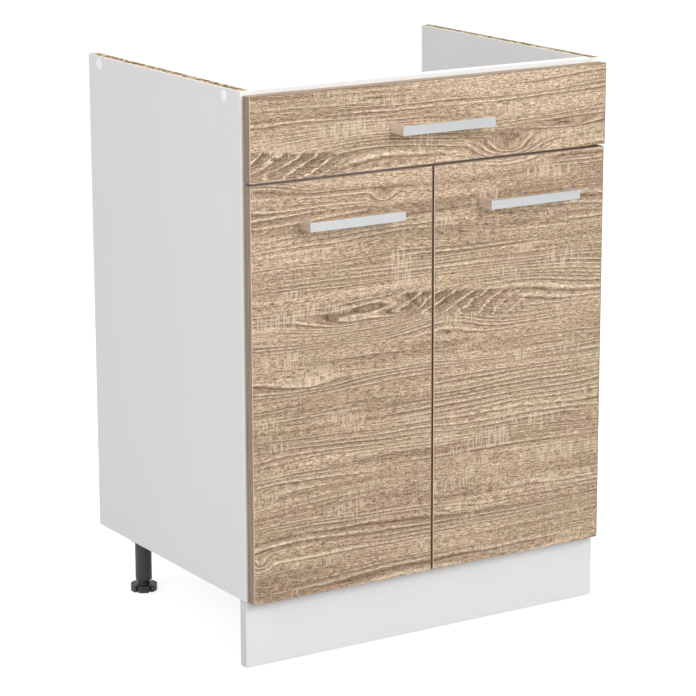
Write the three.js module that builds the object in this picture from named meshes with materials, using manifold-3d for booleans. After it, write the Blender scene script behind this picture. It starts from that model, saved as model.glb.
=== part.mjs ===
// Sink base cabinet, 600 mm wide: a white board carcass, open at the top and the back, with a fixed
// false front over two hinged doors, a clip-on plinth and four screw-adjustable legs.
//
// Millimetres, +Z up. X runs to the right of someone facing the fronts, -Y is the front side. The
// pieces are placed in the carcass frame (Y = 0 on the carcass front edges, Z = 0 on the floor), and
// the last lines shift that frame so that the origin is the bottom centre of the whole object.

import * as THREE from 'three';
import { mergeVertices } from 'three/addons/utils/BufferGeometryUtils.js';
import Module from 'manifold-3d';

const wasm = await Module();
wasm.setup();

// ---------------------------------------------------------------- driving dimensions

const CABINET_WIDTH = 600;
const CARCASS_HEIGHT = 718;
const CARCASS_DEPTH = 440;
const LEG_HEIGHT = 98;

const SIDE_THICKNESS = 16;
const BOTTOM_THICKNESS = 16;
const FRONT_RAIL_THICKNESS = 16;
const FRONT_RAIL_HEIGHT = 60;
const STRETCHER_THICKNESS = 16;
const STRETCHER_HEIGHT = 100;

const FRONT_THICKNESS = 16;
const FRONT_STANDOFF = 1.5; // air between the fronts and the carcass edges
const FRONTS_TOP_REVEAL = 6; // carcass seen above the false front
const FRONTS_SIDE_REVEAL = 3.5; // carcass seen beside the fronts
const FALSE_FRONT_RIGHT_REVEAL = 1.5; // the false front reaches a little further right
const FALSE_FRONT_HEIGHT = 118;
const GAP_UNDER_FALSE_FRONT = 3;
const GAP_BETWEEN_DOORS = 3;

const HANDLE_LENGTH = 154;
const HANDLE_HEIGHT = 13;
const HANDLE_PROJECTION = 34;
const HANDLE_BAR_DEPTH = 9;
const HANDLE_FOOT_WIDTH = 10;
const HANDLE_EDGE_RADIUS = 0.8;
const HANDLE_SIDE_OFFSET = 4; // the handles sit a little to the right of each front's middle
const HANDLE_BELOW_FALSE_FRONT_TOP = 62;
const HANDLE_BELOW_DOOR_TOP = 59;

const SCREW_DIAMETER = 4;
const SCREW_HEAD_DIAMETER = 8;
const SCREW_HEAD_HEIGHT = 2.4;
const SCREW_HEAD_TOP_DIAMETER = 5.6;
const SCREW_HEAD_EDGE_HEIGHT = 1.2;
const SCREW_GRIP = 9; // thread inside the handle foot
const SCREW_CLEARANCE = 0.3;

const PLINTH_THICKNESS = 16;
const PLINTH_FLOOR_GAP = 2;
const PLINTH_TOP_GAP = 0.5;

const LEG_FROM_SIDE = 46; // leg axis to the cabinet's outer side
const LEG_FROM_EDGE = 52; // leg axis to the front or rear edge
const LEG_TUBE_DIAMETER = 25;
const LEG_COLLAR_DIAMETER = 36;
const LEG_COLLAR_HEIGHT = 16;
const LEG_FLANGE_DIAMETER = 60;
const LEG_FLANGE_THICKNESS = 4;
const FOOT_DIAMETER = 40;
const FOOT_HEIGHT = 10;
const FOOT_BOTTOM_CHAMFER = 1;
const FOOT_TOP_CHAMFER = 1.5;
const FOOT_NECK = 7; // stem seen between the foot and the tube
const FOOT_STEM_DIAMETER = 19;
const FOOT_STEM_LENGTH = 40;
const FOOT_STEM_CLEARANCE = 0.3;
const FOOT_NOTCHES = 6;
const FOOT_NOTCH_WIDTH = 3;
const FOOT_NOTCH_DEPTH = 3;
const LEG_BORE_ABOVE_STEM = 8;

const CLIP_LEG_CLEARANCE = 0.4;
const CLIP_PRONG_THICKNESS = 3;
const CLIP_PRONG_REACH = 8; // prong past the leg axis
const CLIP_BASE_WIDTH = 50;
const CLIP_HEIGHT = 22;
const CLIP_MOUTH_FLARE = 0.5; // the prongs' tips open out by this much
const CLIP_MOUTH_LENGTH = 4;

const CAP_DIAMETER = 17;
const CAP_THICKNESS = 1.2;
const CAP_EDGE_THICKNESS = 0.6;
const CAP_CROWN_DIAMETER = 14.4;
const CAP_CROWN_THICKNESS = 1.1;
const CAP_STEM_DIAMETER = 7.4;
const CAP_STEM_LENGTH = 8;
const CAP_HOLE_DIAMETER = 8;
const CAP_HOLE_DEPTH = 10;
const CAP_BELOW_TOP = 11.5;
const CAP_FROM_FRONT = 44;
const CAP_FROM_REAR = 32.5;

const BRACKET_SHEET = 2;
const BRACKET_SIDE_LENGTH = 32;
const BRACKET_FRONT_LENGTH = 24;
const BRACKET_HEIGHT = 40;
const BRACKET_BELOW_RAIL = 14;

const BUMPER_DIAMETER = 9;
const BUMPER_TIP_DIAMETER = 5.4;
const BUMPER_EDGE_HEIGHT = 0.5;
const BUMPER_FROM_EDGE = 8;
const BUMPER_CLEARANCE = 0.3;

// Concealed hinges, in plan: "in" is the distance from the side's inner face into the cabinet, and
// "back" is the distance behind the carcass front edges. Each link turns on a pin of the arm and on
// a pin of the cup.
const HINGE_FROM_DOOR_END = 100;
const CUP_DIAMETER = 35;
const CUP_FROM_DOOR_EDGE = 22.5; // cup axis to the door's outer edge
const CUP_DEPTH = 11.5;
const CUP_WALL = 1.2;
const CUP_RIM = 0.5; // rim standing above the door's rear face
const CUP_CLEARANCE = 0.3;
const CUP_FLANGE_WIDTH = 15;
const CUP_FLANGE_HEIGHT = 62;
const CUP_FLANGE_THICKNESS = 1;
const ARM_PIN_IN = 26;
const ARM_PIN_BACK = 10;
const CUP_PIN_IN = -2.1;
const CUP_PIN_DEPTH = 2.3; // below the door's rear face
const LINK_KNEE_IN = 3.5;
const LINK_KNEE_DEPTH = 4;
const LINK_WIDTH = 3.6;
const LINK_HEIGHT = 10;
const LINK_SIDE_CLEARANCE = 0.5;
const ARM_PIN_DIAMETER = 2.6;
const CUP_PIN_DIAMETER = 2.2;
const PIN_CLEARANCE = 0.3;
const LINK_EYE_WALL = 1;
const ARM_CHEEK = 2;
const ARM_EYE_RADIUS = 3.4;
const ARM_NECK_RADIUS = 2.7; // the arm's outer face behind its eye, from the pin's plane
const ARM_NECK_BACK = 22;
const ARM_FORK_BACK = 26; // rear end of the fork that holds the link
const ARM_SHOULDER_BACK = 38;
const ARM_TAIL_IN = 15; // outer face of the arm over the mounting plate
const ARM_REAR_BACK = 58;
const PLATE_SETBACK = 37; // plate screws behind the carcass front
const PLATE_THICKNESS = 4;
const PLATE_LENGTH = 36;
const PLATE_WIDTH = 16;
const PLATE_WING_LENGTH = 14;
const PLATE_WING_HEIGHT = 48;

const ROUND_SEGMENTS = 32;
const CAP_SEGMENTS = 24;
const SMALL_SEGMENTS = 16;
const CUTTER_OVERSHOOT = 1; // how far a hole's cutter starts outside its face
const WELD_DISTANCE = 1e-4;

// ---------------------------------------------------------------- derived levels and planes

const CARCASS_BOTTOM = LEG_HEIGHT;
const CARCASS_TOP = CARCASS_BOTTOM + CARCASS_HEIGHT;
const INNER_HALF = CABINET_WIDTH / 2 - SIDE_THICKNESS;
const INNER_WIDTH = 2 * INNER_HALF;
const BOTTOM_TOP = CARCASS_BOTTOM + BOTTOM_THICKNESS;
const RAIL_BOTTOM = CARCASS_TOP - FRONT_RAIL_HEIGHT;

const FRONT_REAR_FACE = -FRONT_STANDOFF;
const FRONT_FACE = FRONT_REAR_FACE - FRONT_THICKNESS;
const FRONTS_TOP = CARCASS_TOP - FRONTS_TOP_REVEAL;
const FALSE_FRONT_BOTTOM = FRONTS_TOP - FALSE_FRONT_HEIGHT;
const DOOR_TOP = FALSE_FRONT_BOTTOM - GAP_UNDER_FALSE_FRONT;
const DOOR_BOTTOM = CARCASS_BOTTOM;
const DOOR_OUTER_EDGE = CABINET_WIDTH / 2 - FRONTS_SIDE_REVEAL;
const DOOR_INNER_EDGE = GAP_BETWEEN_DOORS / 2;
const DOOR_MIDDLE = (DOOR_OUTER_EDGE + DOOR_INNER_EDGE) / 2;
const FALSE_FRONT_LEFT = -DOOR_OUTER_EDGE;
const FALSE_FRONT_RIGHT = CABINET_WIDTH / 2 - FALSE_FRONT_RIGHT_REVEAL;
const FALSE_FRONT_MIDDLE = (FALSE_FRONT_LEFT + FALSE_FRONT_RIGHT) / 2;

const HANDLE_SCREW_SPAN = HANDLE_LENGTH - HANDLE_FOOT_WIDTH;
const LEG_X = CABINET_WIDTH / 2 - LEG_FROM_SIDE;
const LEG_FRONT_Y = LEG_FROM_EDGE;
const LEG_REAR_Y = CARCASS_DEPTH - LEG_FROM_EDGE;
const OBJECT_FRONT = FRONT_FACE - HANDLE_PROJECTION;

// ---------------------------------------------------------------- finishes

function finish(colour, roughness, metalness) {
  return new THREE.MeshStandardMaterial({ color: colour, roughness, metalness });
}

const WHITE_BOARD = finish(0xe9e9e9, 0.5, 0);
const OAK_BOARD = finish(0xc2a180, 0.6, 0);
const SATIN_SILVER = finish(0xc4c6cc, 0.35, 0.9);
const BLACK_PLASTIC = finish(0x2c2c2d, 0.45, 0);
const WHITE_PLASTIC = finish(0xf4f4f4, 0.35, 0);
const NICKELLED_STEEL = finish(0xb9b9b6, 0.3, 0.9);
const ZINC_STEEL = finish(0xaeb2b4, 0.45, 0.85);
const CLEAR_RUBBER = finish(0xdcdcd8, 0.6, 0);

// ---------------------------------------------------------------- shape helpers

function toSolid(geometry) {
  const bare = geometry.clone();
  bare.deleteAttribute('normal');
  bare.deleteAttribute('uv');
  const merged = mergeVertices(bare, WELD_DISTANCE);
  return new wasm.Manifold(new wasm.Mesh({
    numProp: 3,
    vertProperties: new Float32Array(merged.attributes.position.array),
    triVerts: new Uint32Array(merged.index.array),
  }));
}

function toGeometry(solid) {
  const mesh = solid.getMesh();
  const geometry = new THREE.BufferGeometry();
  geometry.setAttribute('position', new THREE.BufferAttribute(mesh.vertProperties, 3));
  geometry.setIndex(new THREE.BufferAttribute(mesh.triVerts, 1));
  geometry.computeVertexNormals();
  return geometry;
}

function unite(...geometries) {
  return toGeometry(geometries.map(toSolid).reduce((whole, next) => whole.add(next)));
}

function cut(geometry, ...cutters) {
  const whole = toSolid(geometry);
  return toGeometry(cutters.map(toSolid).reduce((rest, cutter) => rest.subtract(cutter), whole));
}

// A box from its lowest to its highest corner.
function block(low, high) {
  const size = high.map((value, axis) => value - low[axis]);
  const middle = high.map((value, axis) => (value + low[axis]) / 2);
  return new THREE.BoxGeometry(...size).translate(...middle);
}

// A turned piece on the Z axis from its [radius, height] outline.
function turned(outline, segments = ROUND_SEGMENTS) {
  const points = outline.map(([radius, height]) => new THREE.Vector2(radius, height));
  return new THREE.LatheGeometry(points, segments).rotateX(Math.PI / 2);
}

// A round bar on the Z axis between two heights.
function roundBar(diameter, bottom, top, segments = SMALL_SEGMENTS) {
  const radius = diameter / 2;
  return turned([[0, bottom], [radius, bottom], [radius, top], [0, top]], segments);
}

// A flat outline in plan, given as [x, y] points, between two heights.
function plate(points, bottom, top) {
  const outline = new THREE.Shape(points.map(([x, y]) => new THREE.Vector2(x, y)));
  const settings = { depth: top - bottom, bevelEnabled: false };
  return new THREE.ExtrudeGeometry(outline, settings).translate(0, 0, bottom);
}

// A bar with round ends in plan, between two points and two heights.
function roundEndedBar([x1, y1], [x2, y2], width, bottom, top) {
  const length = Math.hypot(x2 - x1, y2 - y1);
  const radius = width / 2;
  const outline = new THREE.Shape();
  outline.absarc(0, 0, radius, Math.PI / 2, 1.5 * Math.PI, false);
  outline.absarc(length, 0, radius, -Math.PI / 2, Math.PI / 2, false);
  const settings = { depth: top - bottom, bevelEnabled: false, curveSegments: SMALL_SEGMENTS };
  return new THREE.ExtrudeGeometry(outline, settings)
    .rotateZ(Math.atan2(y2 - y1, x2 - x1))
    .translate(x1, y1, bottom);
}

// The left-right mirror image, with its faces turned out again.
function mirrored(geometry) {
  const copy = geometry.index ? geometry.toNonIndexed() : geometry.clone();
  const points = copy.attributes.position;
  for (let corner = 0; corner < points.count; corner += 3) {
    const first = new THREE.Vector3().fromBufferAttribute(points, corner);
    const last = new THREE.Vector3().fromBufferAttribute(points, corner + 2);
    points.setXYZ(corner, last.x, last.y, last.z);
    points.setXYZ(corner + 2, first.x, first.y, first.z);
  }
  return copy.scale(-1, 1, 1);
}

// A named piece that hangs in a group at a place.
function piece(group, name, geometry, material, place = [0, 0, 0]) {
  const mesh = new THREE.Mesh(geometry, material);
  mesh.name = name;
  mesh.position.set(...place);
  group.add(mesh);
  return mesh;
}

const SIDES = [
  { name: 'left', sign: -1 },
  { name: 'right', sign: 1 },
];

// ---------------------------------------------------------------- carcass

// A side panel with two blind holes in its outer face, which stands at X = 0 here.
function sidePanel(sign) {
  const inner = -sign * SIDE_THICKNESS;
  const panel = block(
    [Math.min(0, inner), 0, CARCASS_BOTTOM],
    [Math.max(0, inner), CARCASS_DEPTH, CARCASS_TOP],
  );
  const holes = [CAP_FROM_FRONT, CARCASS_DEPTH - CAP_FROM_REAR].map((back) => (
    roundBar(CAP_HOLE_DIAMETER, -CUTTER_OVERSHOOT, CAP_HOLE_DEPTH)
      .rotateY(-sign * Math.PI / 2)
      .translate(0, back, CARCASS_TOP - CAP_BELOW_TOP)
  ));
  return cut(panel, ...holes);
}

// A cover cap: a low dome with a stem that plugs into the panel, pointing out along +X.
function coverCap() {
  const radius = CAP_DIAMETER / 2;
  const stem = CAP_STEM_DIAMETER / 2;
  return turned([
    [0, -CAP_STEM_LENGTH],
    [stem, -CAP_STEM_LENGTH],
    [stem, 0],
    [radius, 0],
    [radius, CAP_EDGE_THICKNESS],
    [CAP_CROWN_DIAMETER / 2, CAP_CROWN_THICKNESS],
    [0, CAP_THICKNESS],
  ], CAP_SEGMENTS).rotateY(Math.PI / 2);
}

function buildCarcass(group) {
  for (const { name, sign } of SIDES) {
    const outer = sign * CABINET_WIDTH / 2;
    piece(group, `${name}_side_panel`, sidePanel(sign), WHITE_BOARD, [outer, 0, 0]);
    const capPlaces = { front: CAP_FROM_FRONT, rear: CARCASS_DEPTH - CAP_FROM_REAR };
    for (const [end, back] of Object.entries(capPlaces)) {
      const place = [outer, back, CARCASS_TOP - CAP_BELOW_TOP];
      const cap = piece(group, `cover_cap_${name}_${end}`, coverCap(), WHITE_PLASTIC, place);
      cap.rotation.z = sign > 0 ? 0 : Math.PI;
    }
  }
  const bottom = block([-INNER_HALF, 0, CARCASS_BOTTOM], [INNER_HALF, CARCASS_DEPTH, BOTTOM_TOP]);
  piece(group, 'bottom_panel', bottom, WHITE_BOARD);

  const rail = new THREE.BoxGeometry(INNER_WIDTH, FRONT_RAIL_THICKNESS, FRONT_RAIL_HEIGHT);
  const railPlace = [0, FRONT_RAIL_THICKNESS / 2, (RAIL_BOTTOM + CARCASS_TOP) / 2];
  piece(group, 'front_top_rail', rail, WHITE_BOARD, railPlace);

  const stretcher = new THREE.BoxGeometry(INNER_WIDTH, STRETCHER_THICKNESS, STRETCHER_HEIGHT);
  const stretcherPlace = [0, CARCASS_DEPTH - STRETCHER_THICKNESS / 2, BOTTOM_TOP + STRETCHER_HEIGHT / 2];
  piece(group, 'rear_stretcher', stretcher, WHITE_BOARD, stretcherPlace);
}

// ---------------------------------------------------------------- handles

// A U-shaped bar handle, drawn in plan round its middle with its feet on Y = 0, and tapped at the feet.
function barHandle() {
  const inset = HANDLE_EDGE_RADIUS;
  const half = HANDLE_LENGTH / 2 - inset;
  const front = -HANDLE_PROJECTION + inset;
  const innerHalf = HANDLE_LENGTH / 2 - HANDLE_FOOT_WIDTH + inset;
  const innerFront = -HANDLE_PROJECTION + HANDLE_BAR_DEPTH - inset;
  const outline = new THREE.Shape([
    [-half, 0], [-half, front], [half, front], [half, 0],
    [innerHalf, 0], [innerHalf, innerFront], [-innerHalf, innerFront], [-innerHalf, 0],
  ].map(([x, y]) => new THREE.Vector2(x, y)));
  const bar = new THREE.ExtrudeGeometry(outline, {
    depth: HANDLE_HEIGHT - 2 * inset,
    bevelThickness: inset,
    bevelSize: inset,
    bevelSegments: 2,
  }).translate(0, 0, -HANDLE_HEIGHT / 2 + inset);
  const behindFeet = block(
    [-HANDLE_LENGTH, 0, -HANDLE_HEIGHT],
    [HANDLE_LENGTH, HANDLE_PROJECTION, HANDLE_HEIGHT],
  );
  const holeDiameter = SCREW_DIAMETER + 2 * SCREW_CLEARANCE;
  const holes = [-1, 1].map((end) => (
    roundBar(holeDiameter, -CUTTER_OVERSHOOT, SCREW_GRIP + SCREW_CLEARANCE)
      .rotateX(Math.PI / 2)
      .translate(end * HANDLE_SCREW_SPAN / 2, 0, 0)
  ));
  return cut(bar, behindFeet, ...holes);
}

// A pan-head screw on the Y axis with its head's seat at Y = 0 and its thread towards -Y.
function handleScrew() {
  const shank = SCREW_DIAMETER / 2;
  const head = SCREW_HEAD_DIAMETER / 2;
  const length = FRONT_THICKNESS + SCREW_GRIP;
  return turned([
    [0, -SCREW_HEAD_HEIGHT],
    [SCREW_HEAD_TOP_DIAMETER / 2, -SCREW_HEAD_HEIGHT],
    [head, -SCREW_HEAD_EDGE_HEIGHT],
    [head, 0],
    [shank, 0],
    [shank, length],
    [0, length],
  ], SMALL_SEGMENTS).rotateX(Math.PI / 2);
}

// Through holes for a handle's two screws, in a front whose rear face stands at Y = FRONT_REAR_FACE.
function handleHoles(x, z) {
  const diameter = SCREW_DIAMETER + 2 * SCREW_CLEARANCE;
  return [-1, 1].map((end) => (
    roundBar(diameter, -CUTTER_OVERSHOOT, FRONT_THICKNESS + CUTTER_OVERSHOOT)
      .rotateX(Math.PI / 2)
      .translate(x + end * HANDLE_SCREW_SPAN / 2, FRONT_REAR_FACE, z)
  ));
}

function fitHandle(group, owner, x, z) {
  piece(group, `handle_${owner}`, barHandle(), SATIN_SILVER, [x, FRONT_FACE, z]);
  for (const { name, sign } of SIDES) {
    const place = [x + sign * HANDLE_SCREW_SPAN / 2, FRONT_REAR_FACE, z];
    piece(group, `handle_screw_${owner}_${name}`, handleScrew(), ZINC_STEEL, place);
  }
}

// ---------------------------------------------------------------- false front

function buildFalseFront(group) {
  const handleX = FALSE_FRONT_MIDDLE + HANDLE_SIDE_OFFSET;
  const handleZ = FRONTS_TOP - HANDLE_BELOW_FALSE_FRONT_TOP;
  const board = block(
    [FALSE_FRONT_LEFT, FRONT_FACE, FALSE_FRONT_BOTTOM],
    [FALSE_FRONT_RIGHT, FRONT_REAR_FACE, FRONTS_TOP],
  );
  piece(group, 'false_front', cut(board, ...handleHoles(handleX, handleZ)), OAK_BOARD);
  fitHandle(group, 'false_front', handleX, handleZ);

  // An angle bracket lies on the side's inner face and on the back of the false front.
  const corner = -INNER_HALF;
  const angle = plate([
    [corner, FRONT_REAR_FACE],
    [corner + BRACKET_FRONT_LENGTH, FRONT_REAR_FACE],
    [corner + BRACKET_FRONT_LENGTH, FRONT_REAR_FACE + BRACKET_SHEET],
    [corner + BRACKET_SHEET, FRONT_REAR_FACE + BRACKET_SHEET],
    [corner + BRACKET_SHEET, BRACKET_SIDE_LENGTH],
    [corner, BRACKET_SIDE_LENGTH],
  ], -BRACKET_HEIGHT, 0);
  const bracketTop = [0, 0, RAIL_BOTTOM - BRACKET_BELOW_RAIL];
  piece(group, 'false_front_bracket_left', angle, ZINC_STEEL, bracketTop);
  piece(group, 'false_front_bracket_right', mirrored(angle), ZINC_STEEL, bracketTop);
}

// ---------------------------------------------------------------- legs and plinth

// A leg moulded in one with its fixing flange and collar, bored from below for the foot's stem.
function legBody() {
  const tube = LEG_TUBE_DIAMETER / 2;
  const collar = LEG_COLLAR_DIAMETER / 2;
  const flange = LEG_FLANGE_DIAMETER / 2;
  const tubeBottom = FOOT_HEIGHT + FOOT_NECK;
  const flangeBottom = CARCASS_BOTTOM - LEG_FLANGE_THICKNESS;
  const collarBottom = flangeBottom - LEG_COLLAR_HEIGHT;
  const bore = FOOT_STEM_DIAMETER / 2 + FOOT_STEM_CLEARANCE;
  const boreTop = FOOT_HEIGHT + FOOT_STEM_LENGTH + LEG_BORE_ABOVE_STEM;
  return turned([
    [0, boreTop],
    [bore, boreTop],
    [bore, tubeBottom],
    [tube, tubeBottom],
    [tube, collarBottom],
    [collar, collarBottom],
    [collar, flangeBottom],
    [flange, flangeBottom],
    [flange, CARCASS_BOTTOM],
    [0, CARCASS_BOTTOM],
  ]);
}

// A screw foot: a notched disc for turning by hand, with its stem.
function screwFoot() {
  const disc = FOOT_DIAMETER / 2;
  const stem = FOOT_STEM_DIAMETER / 2;
  const body = turned([
    [0, 0],
    [disc - FOOT_BOTTOM_CHAMFER, 0],
    [disc, FOOT_BOTTOM_CHAMFER],
    [disc, FOOT_HEIGHT - FOOT_TOP_CHAMFER],
    [disc - FOOT_TOP_CHAMFER, FOOT_HEIGHT],
    [stem, FOOT_HEIGHT],
    [stem, FOOT_HEIGHT + FOOT_STEM_LENGTH],
    [0, FOOT_HEIGHT + FOOT_STEM_LENGTH],
  ]);
  const notches = [];
  for (let index = 0; index < FOOT_NOTCHES; index += 1) {
    const turn = (2 * index + 1) * Math.PI / FOOT_NOTCHES;
    const notch = new THREE.BoxGeometry(2 * FOOT_NOTCH_DEPTH, FOOT_NOTCH_WIDTH, 2 * FOOT_HEIGHT)
      .translate(disc, 0, FOOT_HEIGHT / 2)
      .rotateZ(turn);
    notches.push(notch);
  }
  return cut(body, ...notches);
}

function buildLegs(group) {
  const rows = { front: LEG_FRONT_Y, rear: LEG_REAR_Y };
  for (const [end, y] of Object.entries(rows)) {
    for (const { name, sign } of SIDES) {
      const place = [sign * LEG_X, y, 0];
      piece(group, `leg_${end}_${name}`, legBody(), BLACK_PLASTIC, place);
      piece(group, `foot_${end}_${name}`, screwFoot(), BLACK_PLASTIC, place);
    }
  }
}

// A fork on the back of the plinth that slides over a front leg's tube.
function plinthClip() {
  const inner = LEG_TUBE_DIAMETER / 2 + CLIP_LEG_CLEARANCE;
  const outer = inner + CLIP_PRONG_THICKNESS;
  const half = CLIP_BASE_WIDTH / 2;
  const base = PLINTH_THICKNESS;
  const baseRear = base + CLIP_PRONG_THICKNESS;
  const tip = LEG_FRONT_Y + CLIP_PRONG_REACH;
  const mouth = inner + CLIP_MOUTH_FLARE;
  const mouthRoot = tip - CLIP_MOUTH_LENGTH;
  return plate([
    [-half, base], [half, base], [half, baseRear], [outer, baseRear],
    [outer, tip], [mouth, tip], [inner, mouthRoot],
    [inner, baseRear], [-inner, baseRear],
    [-inner, mouthRoot], [-mouth, tip], [-outer, tip],
    [-outer, baseRear], [-half, baseRear],
  ], -CLIP_HEIGHT / 2, CLIP_HEIGHT / 2);
}

function buildPlinth(group) {
  const top = CARCASS_BOTTOM - PLINTH_TOP_GAP;
  const board = block(
    [-CABINET_WIDTH / 2, 0, PLINTH_FLOOR_GAP],
    [CABINET_WIDTH / 2, PLINTH_THICKNESS, top],
  );
  piece(group, 'plinth_board', board, WHITE_BOARD);
  const clipZ = (PLINTH_FLOOR_GAP + top) / 2;
  for (const { name, sign } of SIDES) {
    piece(group, `plinth_clip_${name}`, plinthClip(), BLACK_PLASTIC, [sign * LEG_X, 0, clipZ]);
  }
}

// ---------------------------------------------------------------- hinges, drawn for the left door

const CUP_IN = CUP_FROM_DOOR_EDGE - (DOOR_OUTER_EDGE - INNER_HALF);
const ARM_PIN = [-INNER_HALF + ARM_PIN_IN, ARM_PIN_BACK];
const CUP_PIN = [-INNER_HALF + CUP_PIN_IN, FRONT_REAR_FACE - CUP_PIN_DEPTH];
const LINK_KNEE = [-INNER_HALF + LINK_KNEE_IN, FRONT_REAR_FACE - LINK_KNEE_DEPTH];
const FORK_HALF = LINK_HEIGHT / 2 + LINK_SIDE_CLEARANCE;
const ARM_HALF = FORK_HALF + ARM_CHEEK;

// The cup, open to the back, with its screw flange and the pin that carries the link.
function hingeCup() {
  const outer = CUP_DIAMETER / 2;
  const inner = outer - CUP_WALL;
  const shell = turned([
    [0, CUP_DEPTH - CUP_WALL],
    [inner, CUP_DEPTH - CUP_WALL],
    [inner, -CUP_RIM],
    [outer, -CUP_RIM],
    [outer, CUP_DEPTH],
    [0, CUP_DEPTH],
  ]);
  const flange = block(
    [-CUP_FLANGE_WIDTH / 2, -CUP_FLANGE_HEIGHT / 2, -CUP_FLANGE_THICKNESS],
    [CUP_FLANGE_WIDTH / 2, CUP_FLANGE_HEIGHT / 2, 0],
  );
  const mouth = roundBar(2 * inner, -2 * CUP_FLANGE_THICKNESS, CUP_FLANGE_THICKNESS, ROUND_SEGMENTS);
  const standing = unite(shell, cut(flange, mouth))
    .rotateX(Math.PI / 2)
    .translate(-INNER_HALF + CUP_IN, FRONT_REAR_FACE, 0);
  const pinOffset = CUP_IN - CUP_PIN_IN;
  const pinHalf = Math.sqrt(inner * inner - pinOffset * pinOffset) + CUP_WALL / 2;
  return unite(standing, roundBar(CUP_PIN_DIAMETER, -pinHalf, pinHalf).translate(...CUP_PIN, 0));
}

// The bent link between the arm's pin and the cup's pin.
function hingeLink() {
  const armHole = ARM_PIN_DIAMETER + 2 * PIN_CLEARANCE;
  const cupHole = CUP_PIN_DIAMETER + 2 * PIN_CLEARANCE;
  const half = LINK_HEIGHT / 2;
  const body = unite(
    roundEndedBar(CUP_PIN, LINK_KNEE, LINK_WIDTH, -half, half),
    roundEndedBar(LINK_KNEE, ARM_PIN, LINK_WIDTH, -half, half),
    roundBar(armHole + 2 * LINK_EYE_WALL, -half, half).translate(...ARM_PIN, 0),
    roundBar(cupHole + 2 * LINK_EYE_WALL, -half, half).translate(...CUP_PIN, 0),
  );
  return cut(
    body,
    roundBar(armHole, -LINK_HEIGHT, LINK_HEIGHT).translate(...ARM_PIN, 0),
    roundBar(cupHole, -LINK_HEIGHT, LINK_HEIGHT).translate(...CUP_PIN, 0),
  );
}

// The arm over the mounting plate, forked at its front for the link and crossed there by its pin.
function hingeArm() {
  const face = -INNER_HALF;
  const seat = face + PLATE_THICKNESS;
  const tail = face + ARM_TAIL_IN;
  const [pinX, pinY] = ARM_PIN;
  const profile = unite(
    plate([
      [seat, ARM_FORK_BACK],
      [pinX - ARM_EYE_RADIUS, pinY],
      [pinX + ARM_EYE_RADIUS, pinY],
      [pinX + ARM_NECK_RADIUS, ARM_NECK_BACK],
      [tail, ARM_SHOULDER_BACK],
      [tail, ARM_REAR_BACK],
      [seat, ARM_REAR_BACK],
    ], -ARM_HALF, ARM_HALF),
    roundBar(2 * ARM_EYE_RADIUS, -ARM_HALF, ARM_HALF, ROUND_SEGMENTS).translate(pinX, pinY, 0),
  );
  const fork = block(
    [face, pinY - 2 * ARM_EYE_RADIUS, -FORK_HALF],
    [pinX + 2 * ARM_EYE_RADIUS, ARM_FORK_BACK - ARM_CHEEK, FORK_HALF],
  );
  const pin = roundBar(ARM_PIN_DIAMETER, -ARM_HALF, ARM_HALF).translate(pinX, pinY, 0);
  return unite(cut(profile, fork), pin);
}

// The cross-shaped mounting plate on the side's inner face.
function hingePlate() {
  const face = -INNER_HALF;
  const body = block(
    [face, PLATE_SETBACK - PLATE_LENGTH / 2, -PLATE_WIDTH / 2],
    [face + PLATE_THICKNESS, PLATE_SETBACK + PLATE_LENGTH / 2, PLATE_WIDTH / 2],
  );
  const wing = block(
    [face, PLATE_SETBACK - PLATE_WING_LENGTH / 2, -PLATE_WING_HEIGHT / 2],
    [face + PLATE_THICKNESS / 2, PLATE_SETBACK + PLATE_WING_LENGTH / 2, PLATE_WING_HEIGHT / 2],
  );
  return unite(body, wing);
}

const HINGE_LEVELS = {
  upper: DOOR_TOP - HINGE_FROM_DOOR_END,
  lower: DOOR_BOTTOM + HINGE_FROM_DOOR_END,
};

function buildHinges(group) {
  const kinds = {
    hinge_cup: [hingeCup(), NICKELLED_STEEL],
    hinge_link: [hingeLink(), NICKELLED_STEEL],
    hinge_arm: [hingeArm(), NICKELLED_STEEL],
    hinge_plate: [hingePlate(), NICKELLED_STEEL],
  };
  for (const [kind, [geometry, material]] of Object.entries(kinds)) {
    for (const { name, sign } of SIDES) {
      const shape = sign < 0 ? geometry : mirrored(geometry);
      for (const [level, z] of Object.entries(HINGE_LEVELS)) {
        piece(group, `${kind}_${name}_${level}`, shape, material, [0, 0, z]);
      }
    }
  }
}

// ---------------------------------------------------------------- doors

function doorBoard(sign) {
  const edges = [sign * DOOR_INNER_EDGE, sign * DOOR_OUTER_EDGE];
  const board = block(
    [Math.min(...edges), FRONT_FACE, DOOR_BOTTOM],
    [Math.max(...edges), FRONT_REAR_FACE, DOOR_TOP],
  );
  const pocketDiameter = CUP_DIAMETER + 2 * CUP_CLEARANCE;
  const pockets = Object.values(HINGE_LEVELS).map((z) => (
    roundBar(pocketDiameter, -CUTTER_OVERSHOOT, CUP_DEPTH + CUP_CLEARANCE, ROUND_SEGMENTS)
      .rotateX(Math.PI / 2)
      .translate(sign * (INNER_HALF - CUP_IN), FRONT_REAR_FACE, z)
  ));
  const handleX = sign * DOOR_MIDDLE + HANDLE_SIDE_OFFSET;
  return cut(board, ...pockets, ...handleHoles(handleX, DOOR_TOP - HANDLE_BELOW_DOOR_TOP));
}

// A soft pad on the door's rear face that meets the carcass when the door shuts.
function doorBumper() {
  const radius = BUMPER_DIAMETER / 2;
  const height = FRONT_STANDOFF - BUMPER_CLEARANCE;
  return turned([
    [0, -height],
    [BUMPER_TIP_DIAMETER / 2, -height],
    [radius, -BUMPER_EDGE_HEIGHT],
    [radius, 0],
    [0, 0],
  ], SMALL_SEGMENTS).rotateX(Math.PI / 2);
}

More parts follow.
